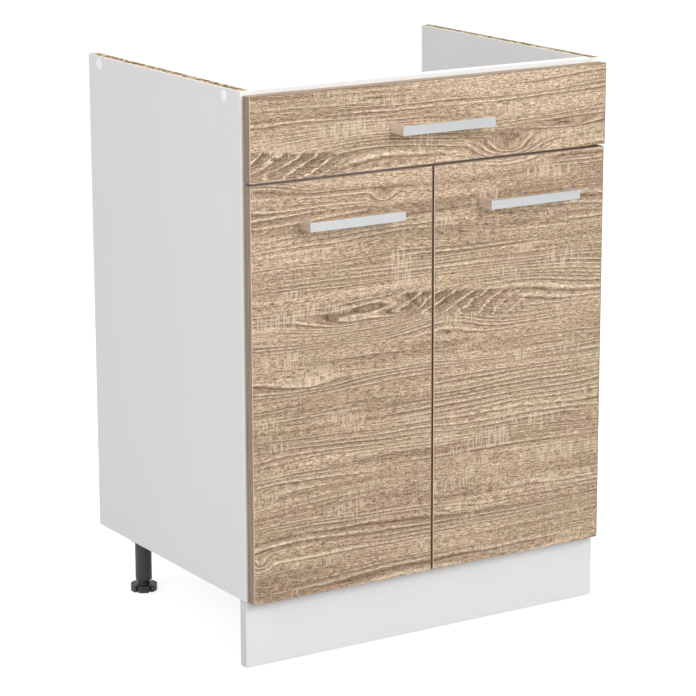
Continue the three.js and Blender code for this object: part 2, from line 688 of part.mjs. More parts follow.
function buildDoors(group) {
  const bumperLevels = {
    upper: DOOR_TOP - BUMPER_FROM_EDGE,
    lower: DOOR_BOTTOM + BUMPER_FROM_EDGE,
  };
  for (const { name, sign } of SIDES) {
    piece(group, `${name}_door`, doorBoard(sign), OAK_BOARD);
    const handleX = sign * DOOR_MIDDLE + HANDLE_SIDE_OFFSET;
    fitHandle(group, `${name}_door`, handleX, DOOR_TOP - HANDLE_BELOW_DOOR_TOP);
    for (const [level, z] of Object.entries(bumperLevels)) {
      const place = [sign * (DOOR_OUTER_EDGE - BUMPER_FROM_EDGE), FRONT_REAR_FACE, z];
      piece(group, `door_bumper_${name}_${level}`, doorBumper(), CLEAR_RUBBER, place);
    }
  }
}

// ---------------------------------------------------------------- the whole cabinet

const cabinet = new THREE.Group();
buildCarcass(cabinet);
buildFalseFront(cabinet);
buildLegs(cabinet);
buildPlinth(cabinet);
buildHinges(cabinet);
buildDoors(cabinet);
cabinet.position.y = -(CARCASS_DEPTH + OBJECT_FRONT) / 2;

export default cabinet;
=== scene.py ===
"""Sink base cabinet: the visible pieces, their finishes, the studio light and the camera.

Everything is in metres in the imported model's frame: X to the right of someone facing the doors,
Y from the doors to the wall, Z up from the floor.
"""

import logging
import math
from collections.abc import Callable, Iterator, Sequence
from contextlib import contextmanager
from dataclasses import dataclass, field
from enum import Enum
from functools import reduce

import bmesh
import bpy
from mathutils import Euler, Matrix, Vector


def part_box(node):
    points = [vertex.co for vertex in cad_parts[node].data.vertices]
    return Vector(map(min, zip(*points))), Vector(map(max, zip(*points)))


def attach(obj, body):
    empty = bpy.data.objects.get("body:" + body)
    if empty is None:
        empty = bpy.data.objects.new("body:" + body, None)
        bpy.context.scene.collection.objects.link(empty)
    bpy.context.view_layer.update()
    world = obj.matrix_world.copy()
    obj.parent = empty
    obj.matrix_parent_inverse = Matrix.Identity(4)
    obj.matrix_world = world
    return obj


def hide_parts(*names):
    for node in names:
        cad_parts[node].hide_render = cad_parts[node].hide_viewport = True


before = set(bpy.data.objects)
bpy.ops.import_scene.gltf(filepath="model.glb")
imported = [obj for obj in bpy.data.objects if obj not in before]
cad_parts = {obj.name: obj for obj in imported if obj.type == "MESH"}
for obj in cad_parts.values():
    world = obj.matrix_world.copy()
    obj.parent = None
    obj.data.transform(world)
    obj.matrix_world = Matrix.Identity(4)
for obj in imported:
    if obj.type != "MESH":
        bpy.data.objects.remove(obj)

LOG = logging.getLogger("cabinet")
MM = 0.001
CARCASS = "carcass"
SIDES = ("left", "right")
ENDS = ("front", "rear")
LEVELS = ("upper", "lower")
ROUND_STEPS = 48

Triple = tuple[float, float, float]
Colour = tuple[float, float, float]
Rings = Sequence[tuple[float, float]]
FaceTest = Callable[[Vector, Vector], bool]
Socket = bpy.types.NodeSocket
Feed = Socket | float | Sequence[float]


class Slot(Enum):
    """The record's material slots."""

    WHITE_BOARD = "white_board"
    OAK_BOARD = "oak_board"
    SATIN_SILVER = "satin_silver"
    BLACK_PLASTIC = "black_plastic"
    WHITE_PLASTIC = "white_plastic"
    NICKELLED_STEEL = "nickelled_steel"
    ZINC_STEEL = "zinc_steel"
    CLEAR_RUBBER = "clear_rubber"


class Side(Enum):
    """A board's sides, by the way they face."""

    LEFT = (-1, 0, 0)
    RIGHT = (1, 0, 0)
    FRONT = (0, -1, 0)
    REAR = (0, 1, 0)
    BOTTOM = (0, 0, -1)
    TOP = (0, 0, 1)


class Facing(Enum):
    """Which way a screw, a cap or a pad looks, as the turn of a piece that looks up."""

    UP = (0, 0, 0)
    REAR = (-math.pi / 2, 0, 0)
    LEFT = (0, -math.pi / 2, 0)
    RIGHT = (0, math.pi / 2, 0)


# ------------------------------------------------------------------ modelling helpers


def deselect_all() -> None:
    """Leaves edit mode and clears the selection."""
    if bpy.context.mode != "OBJECT":
        bpy.ops.object.mode_set(mode="OBJECT")
    bpy.ops.object.select_all(action="DESELECT")


def activate(piece: bpy.types.Object) -> None:
    """Makes a piece the only selected object.

    Args:
        piece: The object to select and make active.
    """
    deselect_all()
    piece.select_set(True)
    bpy.context.view_layer.objects.active = piece


def settle(piece: bpy.types.Object, name: str) -> bpy.types.Object:
    """Names a new object and moves its place into its mesh.

    Args:
        piece: The object just added.
        name: Its name.

    Returns:
        The same object, at the origin, unturned and unscaled.
    """
    piece.name = piece.data.name = name
    activate(piece)
    bpy.ops.object.transform_apply(location=True, rotation=True, scale=True)
    return piece


def add_box(name: str, low: Sequence[float], high: Sequence[float]) -> bpy.types.Object:
    """Adds a cuboid between two corners.

    Args:
        name: The piece's name.
        low: Its lowest corner.
        high: Its highest corner.

    Returns:
        The new object.
    """
    deselect_all()
    low, high = Vector(low), Vector(high)
    bpy.ops.mesh.primitive_cube_add(size=1, location=(low + high) / 2, scale=high - low)
    return settle(bpy.context.object, name)


@contextmanager
def editing(piece: bpy.types.Object) -> Iterator[None]:
    """Edit mode on a piece, with faces as the selection and none of them selected.

    Args:
        piece: The piece to edit.

    Yields:
        Nothing; edit mode ends with the block.
    """
    activate(piece)
    bpy.ops.object.mode_set(mode="EDIT")
    bpy.ops.mesh.select_mode(type="FACE")
    bpy.ops.mesh.select_all(action="DESELECT")
    yield
    bpy.ops.object.mode_set(mode="OBJECT")


def pick_faces(piece: bpy.types.Object, wanted: FaceTest) -> None:
    """Selects the faces of a piece in edit mode that pass a test, and no others.

    Args:
        piece: The piece in edit mode.
        wanted: Says of a face's middle and normal whether it is wanted.
    """
    bpy.ops.mesh.select_all(action="DESELECT")
    mesh = bmesh.from_edit_mesh(piece.data)
    for face in [f for f in mesh.faces if wanted(f.calc_center_median(), f.normal)]:
        face.select_set(True)
    bmesh.update_edit_mesh(piece.data)


def faces_side(side: Side) -> FaceTest:
    """A test for faces that look to one side."""
    way = Vector(side.value)
    return lambda middle, normal: normal.dot(way) > 0.99


def extrude(move: Sequence[float]) -> None:
    """Extrudes the selected faces by a vector."""
    bpy.ops.mesh.extrude_region_move(TRANSFORM_OT_translate={"value": tuple(move)})


def resize_ring(factor: float, height: float) -> None:
    """Scales the selection in plan about the Z axis at a height."""
    bpy.ops.transform.resize(value=(factor, factor, 1), center_override=(0, 0, height))


def paint(piece: bpy.types.Object, index: int) -> None:
    """Gives the selected faces the material of a slot."""
    piece.active_material_index = index
    bpy.ops.object.material_slot_assign()


def apply_modifier(piece: bpy.types.Object, kind: str, **settings: object) -> None:
    """Adds a modifier to a piece and applies it.

    Args:
        piece: The piece.
        kind: The modifier's type.
        **settings: Its properties.
    """
    activate(piece)
    modifier = piece.modifiers.new(kind.lower(), kind)
    for key, value in settings.items():
        setattr(modifier, key, value)
    bpy.ops.object.modifier_apply(modifier=modifier.name)


def round_edges(piece: bpy.types.Object, width: float, segments: int = 2) -> None:
    """Rounds a piece's sharp edges and keeps its flat faces flat.

    Args:
        piece: The piece.
        width: The rounding's width.
        segments: The steps across it.
    """
    activate(piece)
    bpy.ops.object.shade_smooth()
    apply_modifier(
        piece, "BEVEL", width=width, segments=segments, limit_method="ANGLE",
        angle_limit=math.radians(32), harden_normals=True, use_clamp_overlap=True,
    )


def smooth_below(piece: bpy.types.Object, degrees: float) -> None:
    """Shades a piece smooth where its faces meet at less than an angle."""
    activate(piece)
    bpy.ops.object.shade_smooth_by_angle(angle=math.radians(degrees))


def turned(name: str, outline: Rings, segments: int = ROUND_STEPS) -> bpy.types.Object:
    """Shapes a round piece on the Z axis, ring by ring, from a cylinder.

    Args:
        name: The piece's name.
        outline: Radius and height of each ring; the first and the last are closed flat.
        segments: The steps round it.

    Returns:
        The new object.
    """
    deselect_all()
    (radius, height), (next_radius, next_height) = outline[:2]
    bpy.ops.mesh.primitive_cylinder_add(
        vertices=segments, radius=radius, depth=next_height - height,
        location=(0, 0, (height + next_height) / 2),
    )
    piece = settle(bpy.context.object, name)
    with editing(piece):
        pick_faces(piece, lambda middle, normal: normal.z > 0.9)
        resize_ring(next_radius / radius, next_height)
        for ring_radius, ring_height in outline[2:]:
            extrude((0, 0, ring_height - next_height))
            resize_ring(ring_radius / next_radius, ring_height)
            next_radius, next_height = ring_radius, ring_height
    return piece


def move_mesh(piece: bpy.types.Object, matrix: Matrix) -> bpy.types.Object:
    """Moves a piece's mesh by a matrix, with its object left at the origin.

    Args:
        piece: The piece.
        matrix: The move, which mirrors nothing.

    Returns:
        The same piece.
    """
    piece.data.transform(matrix)
    piece.data.update()
    return piece


def copy_of(piece: bpy.types.Object, name: str, matrix: Matrix) -> bpy.types.Object:
    """Copies a piece with a mesh of its own.

    Args:
        piece: The piece to copy.
        name: The copy's name.
        matrix: The copy's place.

    Returns:
        The copy.
    """
    twin = piece.copy()
    twin.data = piece.data.copy()
    twin.name = twin.data.name = name
    bpy.context.scene.collection.objects.link(twin)
    return move_mesh(twin, matrix)


def cut_away(piece: bpy.types.Object, cutters: Sequence[bpy.types.Object]) -> None:
    """Cuts other solids out of a piece and deletes them.

    Args:
        piece: The piece.
        cutters: The solids to cut with.
    """
    for cutter in cutters:
        apply_modifier(piece, "BOOLEAN", operation="DIFFERENCE", solver="EXACT", object=cutter)
        bpy.data.objects.remove(cutter)


def drill(low_end: Sequence[float], radius: float, depth: float) -> bpy.types.Object:
    """Makes a cutter for a hole that runs towards +Y.

    Args:
        low_end: Where the cutter starts, on its axis.
        radius: The hole's radius.
        depth: The cutter's length.

    Returns:
        The cutter.
    """
    deselect_all()
    middle = Vector(low_end) + Vector((0, depth / 2, 0))
    bpy.ops.mesh.primitive_cylinder_add(
        vertices=ROUND_STEPS, radius=radius, depth=depth, location=middle,
        rotation=(math.pi / 2, 0, 0),
    )
    return settle(bpy.context.object, "hole_cutter")


def soft_copy(node: str, name: str, width: float) -> bpy.types.Object:
    """Copies a small CAD solid, cleans its faces and rounds its edges.

    Args:
        node: The CAD node.
        name: The new piece's name.
        width: The rounding's width.

    Returns:
        The new piece.
    """
    piece = copy_of(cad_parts[node], name, Matrix.Identity(4))
    piece.parent = None
    for key in list(piece.keys()):
        del piece[key]
    with editing(piece):
        bpy.ops.mesh.select_all(action="SELECT")
        bpy.ops.mesh.remove_doubles(threshold=0.02 * MM)
        bpy.ops.mesh.dissolve_limited(angle_limit=math.radians(1))
    round_edges(piece, width)
    return piece


def dress(piece: bpy.types.Object, *finishes: bpy.types.Material) -> None:
    """Gives a piece its materials.

    Args:
        piece: The piece.
        *finishes: One material for each of its slots.
    """
    piece.data.materials.clear()
    for finish in finishes:
        piece.data.materials.append(finish)


def seat(piece: bpy.types.Object, body: str, slot: Slot, *nodes: str) -> None:
    """Makes a piece ride on a body, stand for its CAD nodes and report itself.

    Args:
        piece: The finished piece.
        body: The body that it moves with.
        slot: Not used.
        *nodes: The CAD nodes that it stands for.
    """
    if nodes:
        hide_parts(*nodes)
    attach(piece, body)
    LOG.info("%s rides on %s", piece.name, body)


def centre_of(node: str) -> Vector:
    """The middle of a CAD node's box."""
    low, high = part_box(node)
    return (low + high) / 2


def placed(point: Sequence[float], facing: Facing = Facing.UP) -> Matrix:
    """The matrix that turns a piece from looking up to a way and moves it to a point."""
    return Matrix.Translation(Vector(point)) @ Euler(facing.value).to_matrix().to_4x4()


# ------------------------------------------------------------------ finishes


class Nodes:
    """A node tree, with short calls for the nodes that this cabinet's finishes use."""

    def __init__(self, tree: bpy.types.NodeTree, output: str) -> None:
        """Empties a tree and gives it its output.

        Args:
            tree: The node tree.
            output: The output node's type.
        """
        self.tree = tree
        tree.nodes.clear()
        self.surface = self.add(output).inputs["Surface"]

    def add(self, kind: str, feeds: dict[str | int, Feed] | None = None, **settings: str) -> bpy.types.Node:
        """Adds a node and feeds its inputs.

        Args:
            kind: The node's type.
            feeds: What goes into its inputs, by their names or places.
            **settings: Its properties.

        Returns:
            The node.
        """
        node = self.tree.nodes.new(kind)
        for key, value in settings.items():
            setattr(node, key, value)
        for key, value in (feeds or {}).items():
            self.feed(node.inputs[key], value)
        return node

    def feed(self, target: Socket, value: Feed) -> None:
        """Links a socket to a target, or sets the target's value.

        Args:
            target: The input socket.
            value: An output socket, a number, a vector, or a colour of three numbers.
        """
        if isinstance(value, bpy.types.NodeSocket):
            self.tree.links.new(value, target)
        else:
            target.default_value = (*value, 1) if target.type == "RGBA" else value

    def millimetres(self, scale: Triple = (1, 1, 1), shift: Triple = (0, 0, 0)) -> Socket:
        """The piece's own coordinates, in millimetres over the given feature sizes.

        Args:
            scale: Feature size along X, Y and Z, in millimetres.
            shift: Added after scaling.

        Returns:
            The vector socket.
        """
        place = self.add("ShaderNodeTexCoord").outputs["Object"]
        feeds = {"Vector": place, "Scale": [1 / (MM * size) for size in scale], "Location": shift}
        return self.add("ShaderNodeMapping", feeds).outputs["Vector"]

    def noise(self, vector: Socket, detail: float = 2, roughness: float = 0.5) -> Socket:
        """A noise of unit feature size, about 0.5 on average."""
        feeds = {"Vector": vector, "Scale": 1, "Detail": detail, "Roughness": roughness}
        return self.add("ShaderNodeTexNoise", feeds).outputs["Fac"]

    def cells(self, vector: Socket) -> tuple[Socket, Socket]:
        """Voronoi cells of unit size: distance and colour."""
        outputs = self.add("ShaderNodeTexVoronoi", {"Vector": vector, "Scale": 1}).outputs
        return outputs["Distance"], outputs["Color"]

    def math(self, operation: str, *values: Feed) -> Socket:
        """A Math node's result."""
        return self.add("ShaderNodeMath", dict(enumerate(values)), operation=operation).outputs[0]

    def times(self, first: Feed, *others: Feed) -> Socket:
        """The product of values, taken from the left."""
        return reduce(lambda product, value: self.math("MULTIPLY", product, value), others, first)

    def line(self, value: Feed, gain: Feed, offset: Feed) -> Socket:
        """A value times a gain, plus an offset."""
        return self.math("MULTIPLY_ADD", value, gain, offset)

    def span(self, value: Socket, low: float, high: float, to_low: float = 0.0,
             to_high: float = 1.0) -> Socket:
        """Maps a value's span onto another one, smoothly and clamped."""
        feeds = {"Value": value, "From Min": low, "From Max": high, "To Min": to_low, "To Max": to_high}
        return self.add("ShaderNodeMapRange", feeds, interpolation_type="SMOOTHSTEP").outputs["Result"]

    def vector(self, *values: Feed) -> Socket:
        """Three values as one vector."""
        return self.add("ShaderNodeCombineXYZ", dict(enumerate(values))).outputs["Vector"]

    def parts(self, vector: Socket) -> tuple[Socket, ...]:
        """A vector's three values."""
        return tuple(self.add("ShaderNodeSeparateXYZ", {0: vector}).outputs)

    def ramp(self, value: Socket, stops: Sequence[tuple[float, Colour]]) -> Socket:
        """A colour ramp.

        Args:
            value: The place on the ramp.
            stops: Each stop's place and colour, in order.

        Returns:
            The colour at the value.
        """
        node = self.add("ShaderNodeValToRGB", {"Fac": value})
        elements = node.color_ramp.elements
        while len(elements) < len(stops):
            elements.new(0.5)
        for element, (place, colour) in zip(elements, stops):
            element.position = place
            element.color = (*colour, 1)
        return node.outputs["Color"]

    def mix(self, factor: Feed, first: Feed, second: Feed) -> Socket:
        """Two colours mixed."""
        return self.add("ShaderNodeMix", {"Factor": factor, 6: first, 7: second}, data_type="RGBA").outputs[2]

    def scaled(self, colour: Socket, level: Socket) -> Socket:
        """A colour times a level, which may pass one."""
        feeds = {0: colour, "Scale": level}
        return self.add("ShaderNodeVectorMath", feeds, operation="SCALE").outputs["Vector"]

    def mound(self, centre: Triple, reach: Triple) -> Socket:
        """A smooth mound: one at its centre and nothing past its reach, both in millimetres.

        Args:
            centre: Its centre.
            reach: How far it reaches along X, Y and Z.

        Returns:
            Its height.
        """
        shift = tuple(-place / size for place, size in zip(centre, reach))
        feeds = {"Vector": self.millimetres(reach, shift)}
        ball = self.add("ShaderNodeTexGradient", feeds, gradient_type="SPHERICAL")
        return self.span(ball.outputs["Fac"], 0, 1)

    def either(self, factor: Feed, first: Socket, second: Socket) -> Socket:
        """Two shaders mixed: the first at nothing, the second at one."""
        return self.add("ShaderNodeMixShader", {"Fac": factor, 1: first, 2: second}).outputs[0]

    def seen(self) -> Socket:
        """Picks the rays that show a surface: from the camera, in gloss or through something clear.

        Returns:
            One for those rays and nothing for others.
        """
        rays = self.add("ShaderNodeLightPath").outputs
        shown = self.math("MAXIMUM", rays["Is Camera Ray"], rays["Is Glossy Ray"])
        return self.math("MAXIMUM", shown, rays["Is Transmission Ray"])


class NodeSheet(Nodes):
    """A material's nodes, with its main shader."""

    def __init__(self, name: str) -> None:
        """Starts a material with a shader and its output.

        Args:
            name: The material's name.
        """
        self.material = bpy.data.materials.new(name)
        self.material.use_nodes = True
        super().__init__(self.material.node_tree, "ShaderNodeOutputMaterial")
        self.shader = self.add("ShaderNodeBsdfPrincipled")
        self.feed(self.surface, self.shader.outputs["BSDF"])

    def set(self, **values: Feed) -> None:
        """Feeds the shader's sockets, named with underscores for blanks."""
        for key, value in values.items():
            self.feed(self.shader.inputs[key.replace("_", " ")], value)

    def bump(self, height: Socket, distance: float, strength: float) -> None:
        """Adds a bump of a height in metres to the shader."""
        feeds = {"Height": height, "Distance": distance, "Strength": strength}
        self.set(Normal=self.add("ShaderNodeBump", feeds).outputs["Normal"])


@dataclass(frozen=True)
class Melamine:
    """White melamine facing: a soft pearl grain that breaks up its sheen."""

    name: str = "white_melamine"
    tone: Colour = (0.86, 0.86, 0.86)
    roughness: float = 0.42

    def build(self) -> bpy.types.Material:
        """Builds the material.

        Returns:
            The material.
        """
        sheet = NodeSheet(self.name)
        cloud = sheet.noise(sheet.millimetres((130, 130, 260)), 3)
        pearl = sheet.noise(sheet.millimetres((0.9, 0.9, 0.9)), 2)
        scuffs = sheet.noise(sheet.millimetres((4, 4, 24)), 4, 0.7)
        shade = sheet.span(cloud, 0.3, 0.7, 0.985, 1.0)
        grain = sheet.span(pearl, 0.3, 0.7, 0.985, 1.0)
        level = sheet.times(shade, grain)
        colour = sheet.mix(level, (0, 0, 0), self.tone)
        rough = sheet.span(scuffs, 0.35, 0.7, self.roughness - 0.05, self.roughness + 0.08)
        sheet.set(Base_Color=colour, Roughness=rough, Specular_IOR_Level=0.35)
        sheet.bump(pearl, 0.02 * MM, 0.6)
        return sheet.material


@dataclass(frozen=True)
class Chipboard:
    """Raw chipboard edge: tan and brown flakes with small hollows."""

    name: str = "raw_chipboard"
    hollow: Colour = (0.06, 0.036, 0.02)

    def build(self) -> bpy.types.Material:
        """Builds the material.

        Returns:
            The material.
        """
        sheet = NodeSheet(self.name)
        warp = sheet.noise(sheet.millimetres((3, 3, 3)), 3)
        feeds = {0: sheet.millimetres((3.4, 7.5, 3)), 1: sheet.vector(warp, warp, warp)}
        distance, tint = sheet.cells(sheet.add("ShaderNodeVectorMath", feeds, operation="ADD").outputs[0])
        flakes = sheet.ramp(sheet.parts(tint)[0], [
            (0.0, (0.10, 0.06, 0.022)), (0.30, (0.20, 0.13, 0.055)), (0.52, (0.38, 0.26, 0.125)),
            (0.76, (0.62, 0.47, 0.27)), (1.0, (0.80, 0.66, 0.46)),
        ])
        dust = sheet.noise(sheet.millimetres((0.9, 1.6, 0.9)), 3, 0.6)
        gaps = sheet.span(dust, 0.34, 0.46, 0.35, 1.0)
        colour = sheet.mix(gaps, self.hollow, flakes)
        sheet.set(Base_Color=colour, Roughness=0.9, Specular_IOR_Level=0.2)
        height = sheet.math("ADD", distance, sheet.times(dust, 0.8))
        sheet.bump(height, 0.35 * MM, 0.9)
        return sheet.material


@dataclass(frozen=True)
class Sway:
    """A slow noise that bends the figure: its feature size and reach in millimetres, detail and shift."""

    length: float
    height: float
    reach: float
    detail: float
    shift: float


@dataclass(frozen=True)
class Knot:
    """A place where the figure bends round a knot or a crotch, in millimetres on the fronts."""

    x: float
    z: float
    length: float
    height: float
    push: float


@dataclass(frozen=True)
class Teeth:
    """A field where the rings run out in slanting teeth below a sharp line, in millimetres."""

    x: float
    z: float
    length: float
    height: float = 46
    slope: float = 0.6
    pitch: float = 29


SWAYS = (Sway(640, 92, 70, 1.5, 3.7), Sway(260, 40, 17, 2, 11.2), Sway(80, 12, 1.8, 2, 23.9))

KNOTS = (
    Knot(128, 697, 96, 34, 22), Knot(236, 727, 90, 12, 9), Knot(-118, 730, 240, 58, -17),
    Knot(-300, 712, 80, 30, 20), Knot(-83, 652, 34, 20, 13), Knot(-112, 481, 200, 22, 16),
    Knot(-230, 398, 160, 15, 9), Knot(-262, 268, 200, 20, -10), Knot(-285, 150, 30, 22, 15),
    Knot(180, 500, 260, 60, -9), Knot(-22, 492, 90, 26, 13), Knot(30, 470, 130, 34, -14),
    Knot(140, 330, 320, 60, -9), Knot(-285, 690, 120, 36, -15),
)

TEETH = (Teeth(-330, 738, 222), Teeth(-72, 517, 270))

# Where the blade marked the decor: centre x and z and reach along and across, in millimetres.
SAW_MARKS = (
    (-130, 752, 100, 22), (-258, 496, 70, 24), (-188, 415, 55, 20), (233, 533, 85, 26), (100, 281, 70, 26),
)

# Painted light: where the decor is made a little paler, over the false front: centre and reach, in
# millimetres.
PAINTED_LIGHT_FIELD = ((210, 0, 775), (330, 1e6, 85))


class Grain:
    """The flow of the oak decor over the fronts."""

    def __init__(self, sheet: NodeSheet) -> None:
        """Sets up the position along the fronts and the bent height that the figure follows.

        Args:
            sheet: The material's nodes.
        """
        self.sheet = sheet
        self.x, _, self.z = sheet.parts(sheet.millimetres())
        self.bent = self.z
        for sway in SWAYS:
            place = sheet.millimetres((sway.length, 1000, sway.height), (sway.shift, 0, sway.shift * 2))
            offset = sheet.line(sheet.noise(place, sway.detail), sway.reach, -sway.reach / 2)
            self.bent = sheet.math("ADD", self.bent, offset)
        self.curl: Feed = 0.0
        for knot in KNOTS:
            mound = sheet.mound((knot.x, 0, knot.z), (knot.length, 1e6, knot.height))
            self.bent = sheet.line(mound, knot.push, self.bent)
            self.curl = sheet.math("MAXIMUM", mound, self.curl)

    def streaks(self, length: float, width: float, shift: float, detail: float = 2,
                roughness: float = 0.5) -> Socket:
        """A noise drawn out along the figure.

        Args:
            length: Feature length along the grain, in millimetres.
            width: Feature width across it.
            shift: Picks another part of the noise.
            detail: The noise's detail.
            roughness: The noise's roughness.

        Returns:
            The noise's value.
        """
        along = self.sheet.line(self.x, 1 / length, shift)
        across = self.sheet.line(self.bent, 1 / width, shift * 1.7)
        return self.sheet.noise(self.sheet.vector(along, across, 0.0), detail, roughness)

    def teeth(self, field: Teeth) -> tuple[Socket, Socket, Socket, Socket]:
        """Slanting teeth below a sharp line.

        Args:
            field: Where they are and how they slant.

        Returns:
            The field's mask, the dark fill's mask, the pale line's mask and the clear strip's above them.
        """
        sheet = self.sheet
        along = sheet.math("SUBTRACT", self.x, field.x)
        wavy = sheet.line(self.streaks(90, 16, 9.1, 2), 26.0, -13.0)
        below = sheet.math("ADD", sheet.math("SUBTRACT", field.z, self.z),
                           sheet.line(along, -0.09, sheet.times(wavy, 0.2)))
        reach = sheet.times(sheet.span(along, field.length, 0.55 * field.length),
                            sheet.span(along, 0, 0.15 * field.length))
        inside = sheet.times(sheet.span(below, 0, 2.2), sheet.span(below, field.height, 0.65 * field.height),
                             reach)
        clear = sheet.times(sheet.span(below, -20, -3), sheet.span(below, 0.5, -1.5), reach)
        rise = sheet.line(along, field.slope, sheet.math("ADD", below, wavy))
        place = sheet.math("FRACT", sheet.math("DIVIDE", rise, field.slope * field.pitch))
        depth = sheet.span(below, 0, 0.9 * field.height, 1.0, 0.45)
        fill = sheet.times(inside, depth, sheet.span(place, 0.0, 1.0, 1.0, 0.45))
        return inside, fill, sheet.times(inside, sheet.span(place, 0.80, 0.88)), clear

    def rings(self, spacing: float) -> tuple[Socket, Socket]:
        """Growth rings: a dark line with a pale one behind it, at an uneven spacing.

        Args:
            spacing: The mean spacing across the grain, in millimetres.

        Returns:
            The dark line's mask and the pale line's mask.
        """
        sheet = self.sheet
        uneven = self.streaks(900, 26, 5.3, 2)
        place = sheet.math("FRACT", sheet.line(uneven, 3.0, sheet.math("DIVIDE", self.bent, spacing)))
        dark = sheet.span(place, 0.02, 0.30, 1, 0)
        pale = sheet.times(sheet.span(place, 0.22, 0.36), sheet.span(place, 0.36, 0.72, 1, 0))
        return dark, pale


@dataclass(frozen=True)
class OakDecor:
    """Rough-sawn light oak decor with horizontal grain, rings, fibres, pores and pale saw marks."""

    name: str = "sawn_oak_decor"
    dark: Colour = (0.322, 0.224, 0.147)
    middle: Colour = (0.456, 0.331, 0.222)
    light: Colour = (0.585, 0.442, 0.307)
    pink: Colour = (0.485, 0.325, 0.232)
    olive: Colour = (0.433, 0.334, 0.203)
    line: Colour = (0.165, 0.103, 0.063)
    pale: Colour = (0.740, 0.596, 0.440)
    ring_spacing: float = 6.8

    def build(self) -> bpy.types.Material:
        """Builds the material.

        Returns:
            The material.
        """
        sheet = NodeSheet(self.name)
        grain = Grain(sheet)
        broad = grain.streaks(640, 30, 2.1, 3, 0.55)
        narrow = grain.streaks(420, 6.5, 7.4, 3, 0.6)
        tone = sheet.line(narrow, 0.45, sheet.times(broad, 0.55))
        # Painted light: the mound lifts the decor's tone over the false front.
        tone = sheet.line(sheet.mound(*PAINTED_LIGHT_FIELD), 0.08, tone)
        colour = sheet.ramp(tone, [(0.42, self.dark), (0.50, self.middle), (0.58, self.light)])
        hue = sheet.noise(sheet.millimetres((120, 1000, 46), (5, 0, 9)), 2)
        colour = sheet.mix(sheet.span(hue, 0.52, 0.66, 0, 0.45), colour, self.pink)
        colour = sheet.mix(sheet.span(hue, 0.48, 0.34, 0, 0.40), colour, self.olive)

        dark_ring, pale_ring = grain.rings(self.ring_spacing)
        belt = sheet.span(grain.streaks(520, 20, 31.5, 2), 0.46, 0.56, 0.05, 1.0)
        curled = sheet.span(grain.curl, 0.05, 0.45, 0, 1.0)
        broken = sheet.span(grain.streaks(170, 7, 17.2, 2), 0.32, 0.50, 0.70, 1.0)
        shown = sheet.times(sheet.math("MAXIMUM", belt, curled), broken)
        toothed = [grain.teeth(field) for field in TEETH]
        for inside, *_ in toothed:
            shown = sheet.times(shown, sheet.span(inside, 0.0, 0.8, 1.0, 0.15))
        dark_line = sheet.times(dark_ring, shown)
        coats = [(shown, 0.36, self.dark), (dark_line, 0.90, self.line),
                 (sheet.times(pale_ring, shown), 0.80, self.pale)]
        for _, fill, rim, clear in toothed:
            coats += [(clear, 0.55, self.light), (fill, 0.92, self.line), (rim, 0.70, self.pale)]
        for mask, strength, tone in coats:
            colour = sheet.mix(sheet.times(mask, strength), colour, tone)

        fibre = grain.streaks(11, 1.7, 13.3, 2, 0.58)
        fleck = sheet.noise(sheet.millimetres((3.4, 1000, 2.0), (71, 0, 13)), 1)
        strength = sheet.span(shown, 0.0, 1.0, 2.9, 2.1)
        level = sheet.math("ADD", sheet.math("SUBTRACT", fibre, 0.5),
                           sheet.times(sheet.math("SUBTRACT", fleck, 0.5), 0.62))
        level = sheet.line(level, strength, 1.0)
        level = sheet.math("MINIMUM", sheet.math("MAXIMUM", level, 0.42), 1.6)
        colour = sheet.scaled(colour, level)

        pores = sheet.span(grain.streaks(6.5, 0.9, 41.7, 1), 0.38, 0.28)
        colour = sheet.mix(sheet.times(pores, 0.40), colour, self.line)

        comb = sheet.noise(sheet.millimetres((3.0, 1000, 24), (51, 0, 3)), 1)
        ragged = sheet.noise(sheet.millimetres((9, 1000, 30), (61, 0, 8)), 2)
        patch = sheet.span(sheet.noise(sheet.millimetres((95, 1000, 26), (61, 0, 8)), 2), 0.56, 0.66)
        for x, z, length, height in SAW_MARKS:
            mark = sheet.times(sheet.mound((x, 0, z), (length, 1e6, height)), ragged)
            patch = sheet.math("MAXIMUM", sheet.span(mark, 0.08, 0.30), patch)
        colour = sheet.mix(sheet.times(sheet.span(comb, 0.47, 0.60), patch, 0.56), colour, self.pale)

        rough = sheet.span(fibre, 0.3, 0.7, 0.62, 0.48)
        sheet.set(Base_Color=colour, Roughness=rough, Specular_IOR_Level=0.25)
        height = sheet.math("SUBTRACT", fibre, sheet.line(pores, 0.6, dark_line))
        sheet.bump(height, 0.05 * MM, 0.6)
        return sheet.material


@dataclass(frozen=True)
class OakEdge:
    """Printed edge band of the oak fronts, streaked along the edge that it covers."""

    name: str = "oak_edge_band"
    dark: Colour = (0.215, 0.145, 0.092)
    light: Colour = (0.370, 0.262, 0.172)

    def build(self) -> bpy.types.Material:
        """Builds the material.

        Returns:
            The material.
        """
        sheet = NodeSheet(self.name)
        upright = sheet.noise(sheet.millimetres((1.6, 1.6, 60)), 4, 0.6)
        level = sheet.noise(sheet.millimetres((60, 1.6, 1.6)), 4, 0.6)
        normal = sheet.add("ShaderNodeNewGeometry").outputs["Normal"]
        sideways = sheet.math("ABSOLUTE", sheet.parts(normal)[0])
        is_side = sheet.math("GREATER_THAN", sideways, 0.7)
        difference = sheet.math("SUBTRACT", upright, level)
        streak = sheet.line(difference, is_side, level)
        colour = sheet.ramp(streak, [(0.35, self.dark), (0.65, self.light)])
        sheet.set(Base_Color=colour, Roughness=sheet.span(streak, 0.3, 0.7, 0.5, 0.4))
        sheet.bump(streak, 0.03 * MM, 0.6)
        return sheet.material


